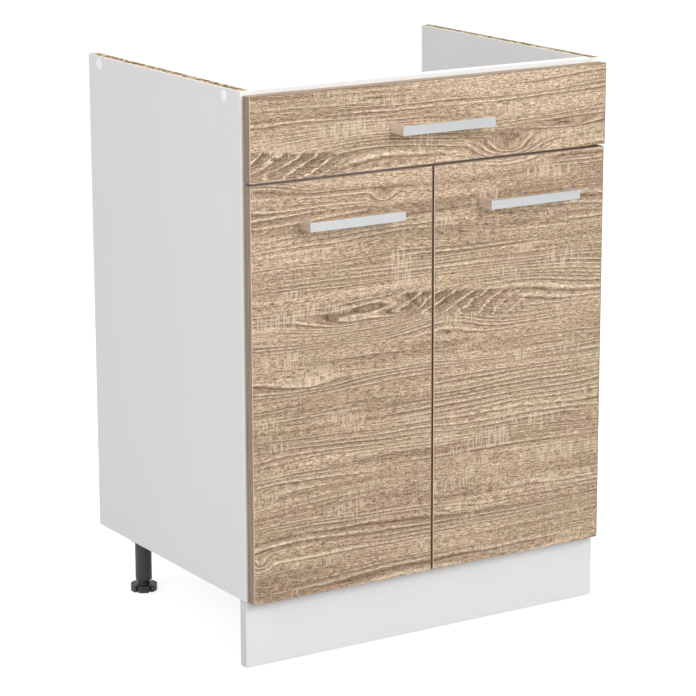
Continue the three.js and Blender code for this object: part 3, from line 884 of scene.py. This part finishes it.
@dataclass(frozen=True)
class Metal:
    """A plated or anodised metal with fine drawn lines."""

    name: str
    tone: Colour
    roughness: float
    line_size: Triple = (60, 1.0, 1.0)
    depth: float = 0.002

    def build(self) -> bpy.types.Material:
        """Builds the material.

        Returns:
            The material.
        """
        sheet = NodeSheet(self.name)
        lines = sheet.noise(sheet.millimetres(self.line_size), 3, 0.6)
        smudge = sheet.noise(sheet.millimetres((22, 22, 22)), 2, 0.5)
        level = sheet.span(lines, 0.3, 0.7, 0.96, 1.0)
        colour = sheet.mix(level, (0, 0, 0), self.tone)
        rough = sheet.line(smudge, 0.10, self.roughness - 0.05)
        sheet.set(Base_Color=colour, Roughness=rough, Metallic=1.0)
        sheet.bump(lines, self.depth * MM, 0.5)
        return sheet.material


@dataclass(frozen=True)
class Moulding:
    """Moulded plastic with a fine spark-eroded texture and rubbed edges."""

    name: str
    tone: Colour
    worn: Colour
    roughness: float = 0.45
    coat: float = 0.0

    def build(self) -> bpy.types.Material:
        """Builds the material.

        Returns:
            The material.
        """
        sheet = NodeSheet(self.name)
        texture = sheet.noise(sheet.millimetres((0.5, 0.5, 0.5)), 3, 0.6)
        rubbed = sheet.noise(sheet.millimetres((9, 9, 9)), 4, 0.6)
        colour = sheet.mix(sheet.span(rubbed, 0.5, 0.8, 0, 0.5), self.tone, self.worn)
        rough = sheet.line(rubbed, 0.2, self.roughness - 0.1)
        sheet.set(Base_Color=colour, Roughness=rough, Coat_Weight=self.coat, Coat_Roughness=0.15)
        sheet.bump(texture, 0.04 * MM, 0.6)
        return sheet.material


@dataclass(frozen=True)
class SoftPad:
    """Clear soft rubber of the door bumpers."""

    name: str = "clear_pad"

    def build(self) -> bpy.types.Material:
        """Builds the material.

        Returns:
            The material.
        """
        sheet = NodeSheet(self.name)
        cloud = sheet.noise(sheet.millimetres((2, 2, 2)), 3)
        colour = sheet.ramp(cloud, [(0.3, (0.62, 0.62, 0.60)), (0.7, (0.78, 0.78, 0.76))])
        sheet.set(Base_Color=colour, Roughness=sheet.span(cloud, 0.3, 0.7, 0.25, 0.4),
                  Transmission_Weight=0.35, IOR=1.42)
        return sheet.material


class Finishes:
    """Every finish of the cabinet, built once."""

    def __init__(self) -> None:
        """Builds the materials."""
        self.melamine = Melamine().build()
        self.white_band = Melamine("white_edge_band", (0.90, 0.90, 0.90), 0.34).build()
        self.chipboard = Chipboard().build()
        self.oak = OakDecor().build()
        self.oak_edge = OakEdge().build()
        # Painted highlight and painted shade for the fronts' arris strips: pale on the left, dark on the
        # right and at the top.
        self.oak_painted_highlight = OakEdge("oak_arris_painted_highlight", (0.52, 0.40, 0.285), (0.68, 0.55, 0.42)).build()
        self.oak_painted_shade = OakEdge("oak_arris_painted_shade", (0.20, 0.13, 0.085), (0.34, 0.235, 0.155)).build()
        # Painted highlight for the side panels' arris strips.
        self.white_painted_highlight = Melamine("white_arris_painted_highlight", (0.97, 0.97, 0.97), 0.34).build()
        # The plinth's whites are darker than the carcass's: painted shade for the plinth, which sits low
        # under the doors.
        self.plinth_white_painted_shade = Melamine("plinth_melamine_painted_shade", (0.80, 0.80, 0.80)).build()
        self.plinth_band_painted_shade = Melamine("plinth_edge_band_painted_shade", (0.73, 0.73, 0.73), 0.34).build()
        self.silver = Metal("satin_silver", (0.55, 0.56, 0.57), 0.30).build()
        # A brighter silver for the handles' sides, top and back: a painted highlight.
        self.silver_painted_highlight_sides = Metal("silver_sides_painted_highlight", (0.90, 0.89, 0.88), 0.34).build()
        self.nickel = Metal("nickel_plate", (0.66, 0.65, 0.62), 0.27, (0.8, 0.8, 8)).build()
        self.zinc = Metal("zinc_plate", (0.62, 0.64, 0.66), 0.38, (1.2, 1.2, 1.2), 0.006).build()
        self.black = Moulding("black_plastic", (0.034, 0.034, 0.035), (0.055, 0.055, 0.056)).build()
        self.white = Moulding("white_plastic", (0.98, 0.98, 0.98), (0.96, 0.96, 0.96), 0.30, 1.0).build()
        self.pad = SoftPad().build()


# ------------------------------------------------------------------ boards


@dataclass
class Board:
    """A board that stands for one CAD node, with its edge bands and its raw edges."""

    node: str
    body: str
    slot: Slot
    face_finish: bpy.types.Material
    band_finish: bpy.types.Material
    raw_finish: bpy.types.Material | None = None
    banded: tuple[Side, ...] = ()
    raw: tuple[Side, ...] = ()
    skin: float = 0.9 * MM
    edge_radius: float = 0.4 * MM
    holes: list[tuple[Triple, float, float]] = field(default_factory=list)
    # Strips of painted highlight and painted shade along one face's arrises: their width, the face and each
    # side's material.
    arris: float = 1.3 * MM
    arris_face: Side = Side.FRONT
    arrises: dict[Side, bpy.types.Material] = field(default_factory=dict)

    def build(self) -> None:
        """Builds the board at the place of its node."""
        low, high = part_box(self.node)
        board = add_box(f"{self.node}_board", low, high)
        finishes = [self.face_finish, self.band_finish]
        finishes += [self.raw_finish] if self.raw_finish else []
        dress(board, *finishes, *self.arrises.values())
        with editing(board):
            for side in self.banded:
                pick_faces(board, faces_side(side))
                paint(board, 1)
            for side in self.raw:
                pick_faces(board, faces_side(side))
                bpy.ops.mesh.inset(thickness=self.skin, depth=0)
                paint(board, 2)
            if self.arrises:
                self._paint_arrises(board, low, high, len(finishes))
        cut_away(board, [drill(*hole) for hole in self.holes])
        round_edges(board, self.edge_radius)
        seat(board, self.body, self.slot, self.node)

    def _paint_arrises(self, board: bpy.types.Object, low: Vector, high: Vector, first: int) -> None:
        """Paints narrow strips of painted highlight and painted shade along one face's sides.

        Args:
            board: The board in edit mode.
            low: Its lowest corner.
            high: Its highest corner.
            first: The first strip's material slot.
        """
        on_face = faces_side(self.arris_face)
        pick_faces(board, on_face)
        bpy.ops.mesh.inset(thickness=self.arris, depth=0)
        middle, half = (low + high) / 2, (high - low) / 2
        for index, side in enumerate(self.arrises, first):
            way = Vector(side.value)
            reach = abs(half.dot(way)) - self.arris
            pick_faces(
                board, lambda place, normal: on_face(place, normal) and (place - middle).dot(way) > reach
            )
            paint(board, index)


# ------------------------------------------------------------------ fasteners


@dataclass
class ScrewMaker:
    """Models one cross-recess screw head and sets copies of it."""

    finish: bpy.types.Material
    head_radius: float = 4 * MM
    head_height: float = 2.4 * MM
    shank_radius: float = 2 * MM
    shank_length: float = 25 * MM
    recess: float = 1.3 * MM
    pattern: bpy.types.Object | None = None

    def make_pattern(self, name: str) -> None:
        """Models the screw once, head up, with its seat at the origin.

        Args:
            name: The pattern's name, which its copies are cut from.
        """
        r, h, s = self.head_radius, self.head_height, self.shank_radius
        screw = turned(name, [
            (s, -self.shank_length), (s, 0), (r, 0), (r, 0.35 * h), (0.93 * r, 0.62 * h),
            (0.76 * r, 0.86 * h), (0.5 * r, h),
        ], 32)
        arm, slit = 0.52 * r, 0.13 * r
        cut_away(screw, [
            add_box("recess", (-x, -y, h - self.recess), (x, y, 2 * h)) for x, y in ((arm, slit), (slit, arm))
        ])
        smooth_below(screw, 35)
        dress(screw, self.finish)
        self.pattern = screw

    def set_screw(self, name: str, point: Sequence[float], facing: Facing, body: str, *nodes: str) -> None:
        """Sets a copy of the screw.

        Args:
            name: The copy's name.
            point: Where its head's seat is.
            facing: The way its head looks.
            body: The body that it rides on.
            *nodes: The CAD nodes that it stands for.
        """
        seat(copy_of(self.pattern, name, placed(point, facing)), body, Slot.ZINC_STEEL, *nodes)

    def finish_up(self) -> None:
        """Removes the pattern once its copies are set."""
        bpy.data.objects.remove(self.pattern)


# ------------------------------------------------------------------ handles


@dataclass
class BarHandle:
    """A U-shaped bar handle with its two screws."""

    owner: str
    body: str
    finish: bpy.types.Material
    side_painted_highlight: bpy.types.Material
    foot_width: float = 10 * MM
    bar_depth: float = 9 * MM
    edge_radius: float = 0.8 * MM
    front_limit: float = -0.6

    def build(self, screws: ScrewMaker) -> None:
        """Builds the handle at the place of its node and sets its screws.

        Args:
            screws: The maker of its screws.
        """
        node = f"handle_{self.owner}"
        low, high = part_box(node)
        bar_back = low.y + self.bar_depth
        bar = add_box(f"{node}_bar", low, (high.x, bar_back, high.z))
        with editing(bar):
            for x in (low.x + self.foot_width, high.x - self.foot_width):
                bpy.ops.mesh.select_all(action="SELECT")
                bpy.ops.mesh.bisect(plane_co=(x, 0, 0), plane_no=(1, 0, 0))
            middle = (low.x + high.x) / 2
            reach = (high.x - low.x) / 2 - self.foot_width
            pick_faces(bar, lambda place, normal: normal.y > 0.99 and abs(place.x - middle) > reach)
            extrude((0, high.y - bar_back, 0))
        round_edges(bar, self.edge_radius, 3)
        dress(bar, self.finish, self.side_painted_highlight)
        # Every face but the front gets the brighter silver: a painted highlight that lifts their shade.
        with editing(bar):
            pick_faces(bar, lambda place, normal: normal.y > self.front_limit)
            paint(bar, 1)
        seat(bar, self.body, Slot.SATIN_SILVER, node)
        for side in SIDES:
            screw = f"handle_screw_{self.owner}_{side}"
            centre, rear = centre_of(screw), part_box(screw)[1].y
            head = (centre.x, rear - screws.head_height, centre.z)
            screws.set_screw(f"{screw}_head", head, Facing.REAR, self.body, screw)


# ------------------------------------------------------------------ carcass


@dataclass
class Carcass:
    """Side panels with their cover caps, bottom panel, front rail and rear stretcher."""

    finishes: Finishes
    panel_skin: float = 1.4 * MM
    panel_radius: float = 0.8 * MM
    cap_rings: Rings = (
        (3.7, -8), (3.7, 0), (8.5, 0), (8.45, 0.08), (8.0, 0.30), (7.1, 0.66), (6.1, 0.96),
        (4.9, 1.13), (3.2, 1.2), (1.2, 1.2),
    )

    def build(self) -> None:
        """Builds the carcass boards and caps."""
        # The pale strips along the side panels' top and front arrises are a painted highlight.
        pale = self.finishes.white_painted_highlight
        for outer in (Side.LEFT, Side.RIGHT):
            self._board(f"{outer.name.lower()}_side_panel", (Side.FRONT,), (Side.TOP, Side.REAR, Side.BOTTOM),
                        skin=self.panel_skin, edge_radius=self.panel_radius, arris_face=outer,
                        arrises={Side.TOP: pale, Side.FRONT: pale})
        self._board("bottom_panel", (Side.FRONT,), (Side.REAR,))
        self._board("front_top_rail", (Side.TOP, Side.BOTTOM), ())
        self._board("rear_stretcher", (Side.TOP,), (Side.BOTTOM,))
        self._caps()

    def _board(self, node: str, banded: tuple[Side, ...], raw: tuple[Side, ...],
               **options: float | Side | dict[Side, bpy.types.Material]) -> None:
        """Builds one white board with its banded and its raw sides."""
        made = self.finishes
        Board(node, CARCASS, Slot.WHITE_BOARD, made.melamine, made.white_band, made.chipboard,
              banded, raw, **options).build()

    def _caps(self) -> None:
        """Models one cover cap and sets it in each side panel's outer face."""
        pattern = turned("cap_pattern", [(radius * MM, height * MM) for radius, height in self.cap_rings])
        smooth_below(pattern, 40)
        dress(pattern, self.finishes.white)
        for side, facing in zip(SIDES, (Facing.LEFT, Facing.RIGHT)):
            panel_low, panel_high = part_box(f"{side}_side_panel")
            face = panel_low.x if side == "left" else panel_high.x
            for end in ENDS:
                node = f"cover_cap_{side}_{end}"
                centre = centre_of(node)
                cap = copy_of(pattern, f"{node}_disc", placed((face, centre.y, centre.z), facing))
                seat(cap, CARCASS, Slot.WHITE_PLASTIC, node)
        bpy.data.objects.remove(pattern)


# ------------------------------------------------------------------ fronts


@dataclass
class Front:
    """An oak front: the fixed false front or a door."""

    finishes: Finishes
    node: str
    body: str
    cup_radius: float = 17.8 * MM
    cup_depth: float = 11.8 * MM
    screw_hole: float = 2.3 * MM
    over: float = 1 * MM

    def build(self, screws: ScrewMaker) -> None:
        """Builds the front with its holes, its handle and the handle's screws.

        Args:
            screws: The maker of the handle's screws.
        """
        low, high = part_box(self.node)
        holes: list[tuple[Triple, float, float]] = []
        for side in SIDES:
            centre = centre_of(f"handle_screw_{self.node}_{side}")
            holes.append(((centre.x, low.y - self.over, centre.z), self.screw_hole,
                          high.y - low.y + 2 * self.over))
        for cup in self._cups():
            centre = centre_of(cup)
            holes.append(((centre.x, high.y - self.cup_depth, centre.z), self.cup_radius,
                          self.cup_depth + self.over))
        made = self.finishes
        # The front face's arris strips are painted highlight on the left and painted shade on the right and
        # at the top.
        Board(self.node, self.body, Slot.OAK_BOARD, made.oak, made.oak_edge, holes=holes,
              banded=(Side.LEFT, Side.RIGHT, Side.TOP, Side.BOTTOM),
              arrises={Side.LEFT: made.oak_painted_highlight, Side.RIGHT: made.oak_painted_shade, Side.TOP: made.oak_painted_shade}).build()
        BarHandle(self.node, self.body, made.silver, made.silver_painted_highlight_sides).build(screws)

    def _cups(self) -> list[str]:
        """The hinge cups that sit in this front."""
        side = self.node.split("_")[0]
        return [f"hinge_cup_{side}_{level}" for level in LEVELS if self.body != CARCASS]


@dataclass
class FalseFrontBrackets:
    """Angle brackets that hold the false front, with their screws."""

    finishes: Finishes
    sheet: float = 2 * MM
    edge_radius: float = 0.4 * MM
    screw_shares: tuple[float, float] = (0.28, 0.72)
    side_screw_back: float = 12 * MM
    front_screw_in: float = 9 * MM

    def build(self, screws: ScrewMaker) -> None:
        """Builds both brackets.

        Args:
            screws: The maker of their screws.
        """
        for side, facing in zip(SIDES, (Facing.RIGHT, Facing.LEFT)):
            node = f"false_front_bracket_{side}"
            bracket = soft_copy(node, f"{node}_angle", self.edge_radius)
            dress(bracket, self.finishes.zinc)
            seat(bracket, CARCASS, Slot.ZINC_STEEL, node)
            low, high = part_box(node)
            inner, x = low.x + self.sheet, high.x - self.front_screw_in
            if side == "right":
                inner, x = high.x - self.sheet, low.x + self.front_screw_in
            for index, share in enumerate(self.screw_shares):
                z = low.z + share * (high.z - low.z)
                screws.set_screw(f"{node}_side_screw_{index}", (inner, high.y - self.side_screw_back, z),
                                 facing, CARCASS)
                screws.set_screw(f"{node}_front_screw_{index}", (x, low.y + self.sheet, z),
                                 Facing.REAR, CARCASS)


@dataclass
class Bumpers:
    """Soft pads on the doors' rear faces."""

    finishes: Finishes
    rings: Rings = ((4.5, 0), (4.5, 0.4), (4.2, 0.75), (3.5, 1.0), (2.4, 1.15), (1.2, 1.2))

    def build(self) -> None:
        """Models one pad and sets it at each bumper's place."""
        pattern = turned("pad_pattern", [(radius * MM, height * MM) for radius, height in self.rings], 32)
        smooth_below(pattern, 50)
        dress(pattern, self.finishes.pad)
        for side in SIDES:
            for level in LEVELS:
                node = f"door_bumper_{side}_{level}"
                centre, front = centre_of(node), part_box(node)[0].y
                pad = copy_of(pattern, f"{node}_pad", placed((centre.x, front, centre.z), Facing.REAR))
                seat(pad, f"{side}_door", Slot.CLEAR_RUBBER, node)
        bpy.data.objects.remove(pattern)


# ------------------------------------------------------------------ hinges


@dataclass
class ConcealedHinge:
    """One cup hinge: cup, link, arm and plate, with their screws."""

    finishes: Finishes
    side: str
    level: str
    edge_radius: float = 0.35 * MM
    cup_screw_in: float = 6.5 * MM
    plate_screw_in: float = 7 * MM
    arm_screw_height: float = 11 * MM
    arm_screws: tuple[tuple[str, float], ...] = (("fixing", 9 * MM), ("adjusting", 17 * MM))

    def build(self, screws: ScrewMaker) -> None:
        """Builds the hinge's pieces where its nodes are and sets their screws.

        Args:
            screws: The maker of its screws.
        """
        key, door, left = f"{self.side}_{self.level}", f"{self.side}_door", self.side == "left"
        bodies = {"cup": door, "link": f"{self.side}_hinge_links", "arm": CARCASS, "plate": CARCASS}
        for kind, body in bodies.items():
            node = f"hinge_{kind}_{key}"
            piece = soft_copy(node, f"{node}_steel", self.edge_radius)
            dress(piece, self.finishes.nickel)
            seat(piece, body, Slot.NICKELLED_STEEL, node)
        facing = Facing.RIGHT if left else Facing.LEFT
        cup, cup_rear = centre_of(f"hinge_cup_{key}"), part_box(f"hinge_cup_{key}")[1].y
        for end, z in self._ends(f"hinge_cup_{key}", self.cup_screw_in):
            screws.set_screw(f"hinge_cup_screw_{key}_{end}", (cup.x, cup_rear, z), Facing.REAR, door)
        plate = centre_of(f"hinge_plate_{key}")
        for end, z in self._ends(f"hinge_plate_{key}", self.plate_screw_in):
            screws.set_screw(f"hinge_plate_screw_{key}_{end}", (plate.x, plate.y, z), facing, CARCASS)
        arm_low, arm_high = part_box(f"hinge_arm_{key}")
        face = arm_low.x + self.arm_screw_height if left else arm_high.x - self.arm_screw_height
        for name, back in self.arm_screws:
            screws.set_screw(f"hinge_arm_{name}_screw_{key}", (face, arm_high.y - back, plate.z),
                             facing, CARCASS)

    @staticmethod
    def _ends(node: str, inset: float) -> tuple[tuple[str, float], ...]:
        """The heights of the screws at a node's two ends."""
        low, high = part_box(node)
        return ("top", high.z - inset), ("bottom", low.z + inset)


# ------------------------------------------------------------------ legs and plinth


@dataclass
class ScrewLeg:
    """A plastic leg with its notched screw foot, modelled once on the Z axis."""

    finishes: Finishes
    tube: float = 12.5 * MM
    tube_base: float = 17 * MM
    collar: float = 18 * MM
    collar_base: float = 78 * MM
    flange: float = 30 * MM
    flange_base: float = 94 * MM
    top: float = 98 * MM
    bore: float = 9.8 * MM
    bore_depth: float = 41 * MM
    stem: float = 9.5 * MM
    stem_top: float = 50 * MM
    disc: float = 20 * MM
    disc_height: float = 10 * MM
    thread_pitch: float = 2.5 * MM
    thread_depth: float = 0.8 * MM
    notches: int = 6
    notch_start: float = 16.2 * MM
    notch_end: float = 23 * MM
    notch_half: float = 2 * MM
    leg_edge: float = 0.6 * MM
    foot_edge: float = 0.5 * MM

    def build(self) -> None:
        """Builds one leg and one foot and sets a copy of each at every corner."""
        leg, foot = self._leg(), self._foot()
        for end in ENDS:
            for side in SIDES:
                key = f"{end}_{side}"
                centre = centre_of(f"foot_{key}")
                axis = placed((centre.x, centre.y, 0))
                seat(copy_of(leg, f"leg_{key}_tube", axis), CARCASS, Slot.BLACK_PLASTIC, f"leg_{key}")
                seat(copy_of(foot, f"foot_{key}_disc", axis), f"foot_{key}", Slot.BLACK_PLASTIC,
                     f"foot_{key}")
        bpy.data.objects.remove(leg)
        bpy.data.objects.remove(foot)

    def _leg(self) -> bpy.types.Object:
        """Models the tube with its collar and flange, bored for the foot's stem.

        Returns:
            The leg's pattern.
        """
        leg = turned("leg_pattern", [
            (self.tube, self.tube_base), (self.tube, self.collar_base), (self.collar, self.collar_base),
            (self.collar, self.flange_base), (self.flange, self.flange_base), (self.flange, self.top),
        ], 64)
        with editing(leg):
            pick_faces(leg, lambda middle, normal: normal.z < -0.9 and middle.z < self.tube_base + MM)
            extrude((0, 0, 0))
            resize_ring(self.bore / self.tube, self.tube_base)
            extrude((0, 0, self.bore_depth))
        round_edges(leg, self.leg_edge)
        dress(leg, self.finishes.black)
        return leg

    def _foot(self) -> bpy.types.Object:
        """Models the notched disc with its threaded stem.

        Returns:
            The foot's pattern.
        """
        pitch = self.thread_pitch
        rings = [(self.disc, 0), (self.disc, self.disc_height), (self.stem, self.disc_height)]
        for turn in range(round((self.stem_top - self.disc_height) / pitch)):
            height = self.disc_height + turn * pitch
            rings += [(self.stem, height + 0.4 * pitch),
                      (self.stem - self.thread_depth, height + 0.7 * pitch), (self.stem, height + pitch)]
        foot = turned("foot_pattern", rings, 64)
        cutters = []
        for index in range(self.notches):
            notch = add_box("notch", (self.notch_start, -self.notch_half, -MM),
                            (self.notch_end, self.notch_half, self.disc_height + MM))
            turn = (2 * index + 1) * math.pi / self.notches
            cutters.append(move_mesh(notch, Matrix.Rotation(turn, 4, "Z")))
        cut_away(foot, cutters)
        round_edges(foot, self.foot_edge)
        dress(foot, self.finishes.black)
        return foot


@dataclass
class Plinth:
    """The plinth board and the forks that hold it on the front legs."""

    finishes: Finishes
    fork_edge: float = 0.6 * MM

    def build(self) -> None:
        """Builds the board and both forks."""
        made = self.finishes
        # The plinth's darker whites are painted shade.
        Board("plinth_board", "plinth", Slot.WHITE_BOARD, made.plinth_white_painted_shade, made.plinth_band_painted_shade,
              made.chipboard, (Side.LEFT, Side.RIGHT, Side.TOP), (Side.BOTTOM,)).build()
        for side in SIDES:
            node = f"plinth_clip_{side}"
            clip = soft_copy(node, f"{node}_fork", self.fork_edge)
            dress(clip, made.black)
            seat(clip, "plinth", Slot.BLACK_PLASTIC, node)


# ------------------------------------------------------------------ studio


@dataclass(frozen=True)
class Lamp:
    """A square soft lamp."""

    name: str
    place: Triple
    size: float
    power: float

    def build(self, aim: Triple) -> None:
        """Sets the lamp up.

        Args:
            aim: The point that it looks at.
        """
        data = bpy.data.lights.new(self.name, "AREA")
        data.size = self.size
        data.energy = self.power
        lamp = bpy.data.objects.new(self.name, data)
        lamp.location = self.place
        way = Vector(aim) - Vector(self.place)
        lamp.rotation_euler = way.to_track_quat("-Z", "Y").to_euler()
        bpy.context.scene.collection.objects.link(lamp)


@dataclass
class Studio:
    """Floor, background, lamps and camera."""

    camera_place: Triple = (-2.2030, -3.48528, 1.3942)
    yaw: float = 32.341
    pitch: float = 13.612
    roll: float = -0.129
    lens: float = 148.44
    sensor_width: float = 36
    shift: tuple[float, float] = (-0.01006, -0.01149)
    clip: tuple[float, float] = (0.05, 100)
    world_level: float = 0.425
    floor_size: float = 60.0
    floor_glow: float = 0.81
    floor_share: float = 0.52
    floor_bounce: float = 0.58
    aim: Triple = (0, 0, 0.42)
    lamps: tuple[Lamp, ...] = (
        Lamp("front_lamp", (0.3, -3.0, 2.0), 1.6, 60), Lamp("left_lamp", (-2.9, -1.2, 2.2), 1.6, 37),
        Lamp("top_lamp", (0.3, 0.4, 4.4), 3.0, 70),
    )

    def build(self) -> None:
        """Sets up everything round the cabinet."""
        bpy.context.scene.view_settings.view_transform = "Standard"
        self._camera()
        self._world()
        self._floor()
        for lamp in self.lamps:
            lamp.build(self.aim)

    def _camera(self) -> None:
        """Sets the photograph's viewpoint."""
        data = bpy.data.cameras.new("photo_camera")
        data.lens = self.lens
        data.sensor_width = self.sensor_width
        data.shift_x, data.shift_y = self.shift
        data.clip_start, data.clip_end = self.clip
        camera = bpy.data.objects.new("photo_camera", data)
        camera.location = self.camera_place
        turn = Euler((math.radians(90 - self.pitch), 0, math.radians(-self.yaw))).to_matrix()
        camera.rotation_euler = (turn @ Matrix.Rotation(math.radians(self.roll), 3, "Z")).to_euler()
        bpy.context.scene.collection.objects.link(camera)
        bpy.context.scene.camera = camera

    def _world(self) -> None:
        """A soft even light that is white where it is seen."""
        world = bpy.data.worlds.new("studio_world")
        world.use_nodes = True
        sky = Nodes(world.node_tree, "ShaderNodeOutputWorld")
        light, white = (sky.add("ShaderNodeBackground", {"Color": (1, 1, 1), "Strength": level}).outputs[0]
                        for level in (self.world_level, 1.0))
        sky.feed(sky.surface, sky.either(sky.seen(), light, white))
        bpy.context.scene.world = world

    def _floor(self) -> None:
        """A pale floor that nearly vanishes into the background and keeps the soft shadow."""
        deselect_all()
        bpy.ops.mesh.primitive_plane_add(size=self.floor_size)
        floor = settle(bpy.context.object, "studio_floor")
        sheet = NodeSheet("studio_floor")
        cloud = sheet.noise(sheet.millimetres((300, 300, 300)), 3)
        sheet.set(Base_Color=sheet.ramp(cloud, [(0.3, (0.86, 0.86, 0.86)), (0.7, (0.88, 0.88, 0.88))]),
                  Roughness=0.7, Specular_IOR_Level=0.1)
        dark, glow = (sheet.add("ShaderNodeEmission", {"Strength": level}).outputs[0]
                      for level in (0.0, self.floor_glow))
        shadowed = sheet.either(1 - self.floor_share, sheet.shader.outputs["BSDF"], dark)
        white = sheet.add("ShaderNodeAddShader", {0: shadowed, 1: glow}).outputs[0]
        bounce = sheet.add("ShaderNodeBsdfDiffuse", {"Color": (self.floor_bounce,) * 3}).outputs[0]
        sheet.feed(sheet.surface, sheet.either(sheet.seen(), bounce, white))
        dress(floor, sheet.material)


# ------------------------------------------------------------------ the whole cabinet


def main() -> None:
    """Builds the cabinet's sub-assemblies in order, then the studio."""
    logging.basicConfig(level=logging.INFO, format="%(name)s: %(message)s")
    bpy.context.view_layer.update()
    finishes = Finishes()
    screws = ScrewMaker(finishes.zinc)
    screws.make_pattern("screw_pattern")
    short = ScrewMaker(finishes.zinc, head_radius=3 * MM, head_height=1.2 * MM, shank_radius=1.5 * MM,
                       shank_length=1.5 * MM, recess=0.8 * MM)
    short.make_pattern("short_screw_pattern")
    Carcass(finishes).build()
    Front(finishes, "false_front", CARCASS).build(screws)
    FalseFrontBrackets(finishes).build(short)
    for side in SIDES:
        Front(finishes, f"{side}_door", f"{side}_door").build(screws)
        for level in LEVELS:
            ConcealedHinge(finishes, side, level).build(short)
    Bumpers(finishes).build()
    ScrewLeg(finishes).build()
    Plinth(finishes).build()
    screws.finish_up()
    short.finish_up()
    Studio().build()


if __name__ == "__main__":
    main()
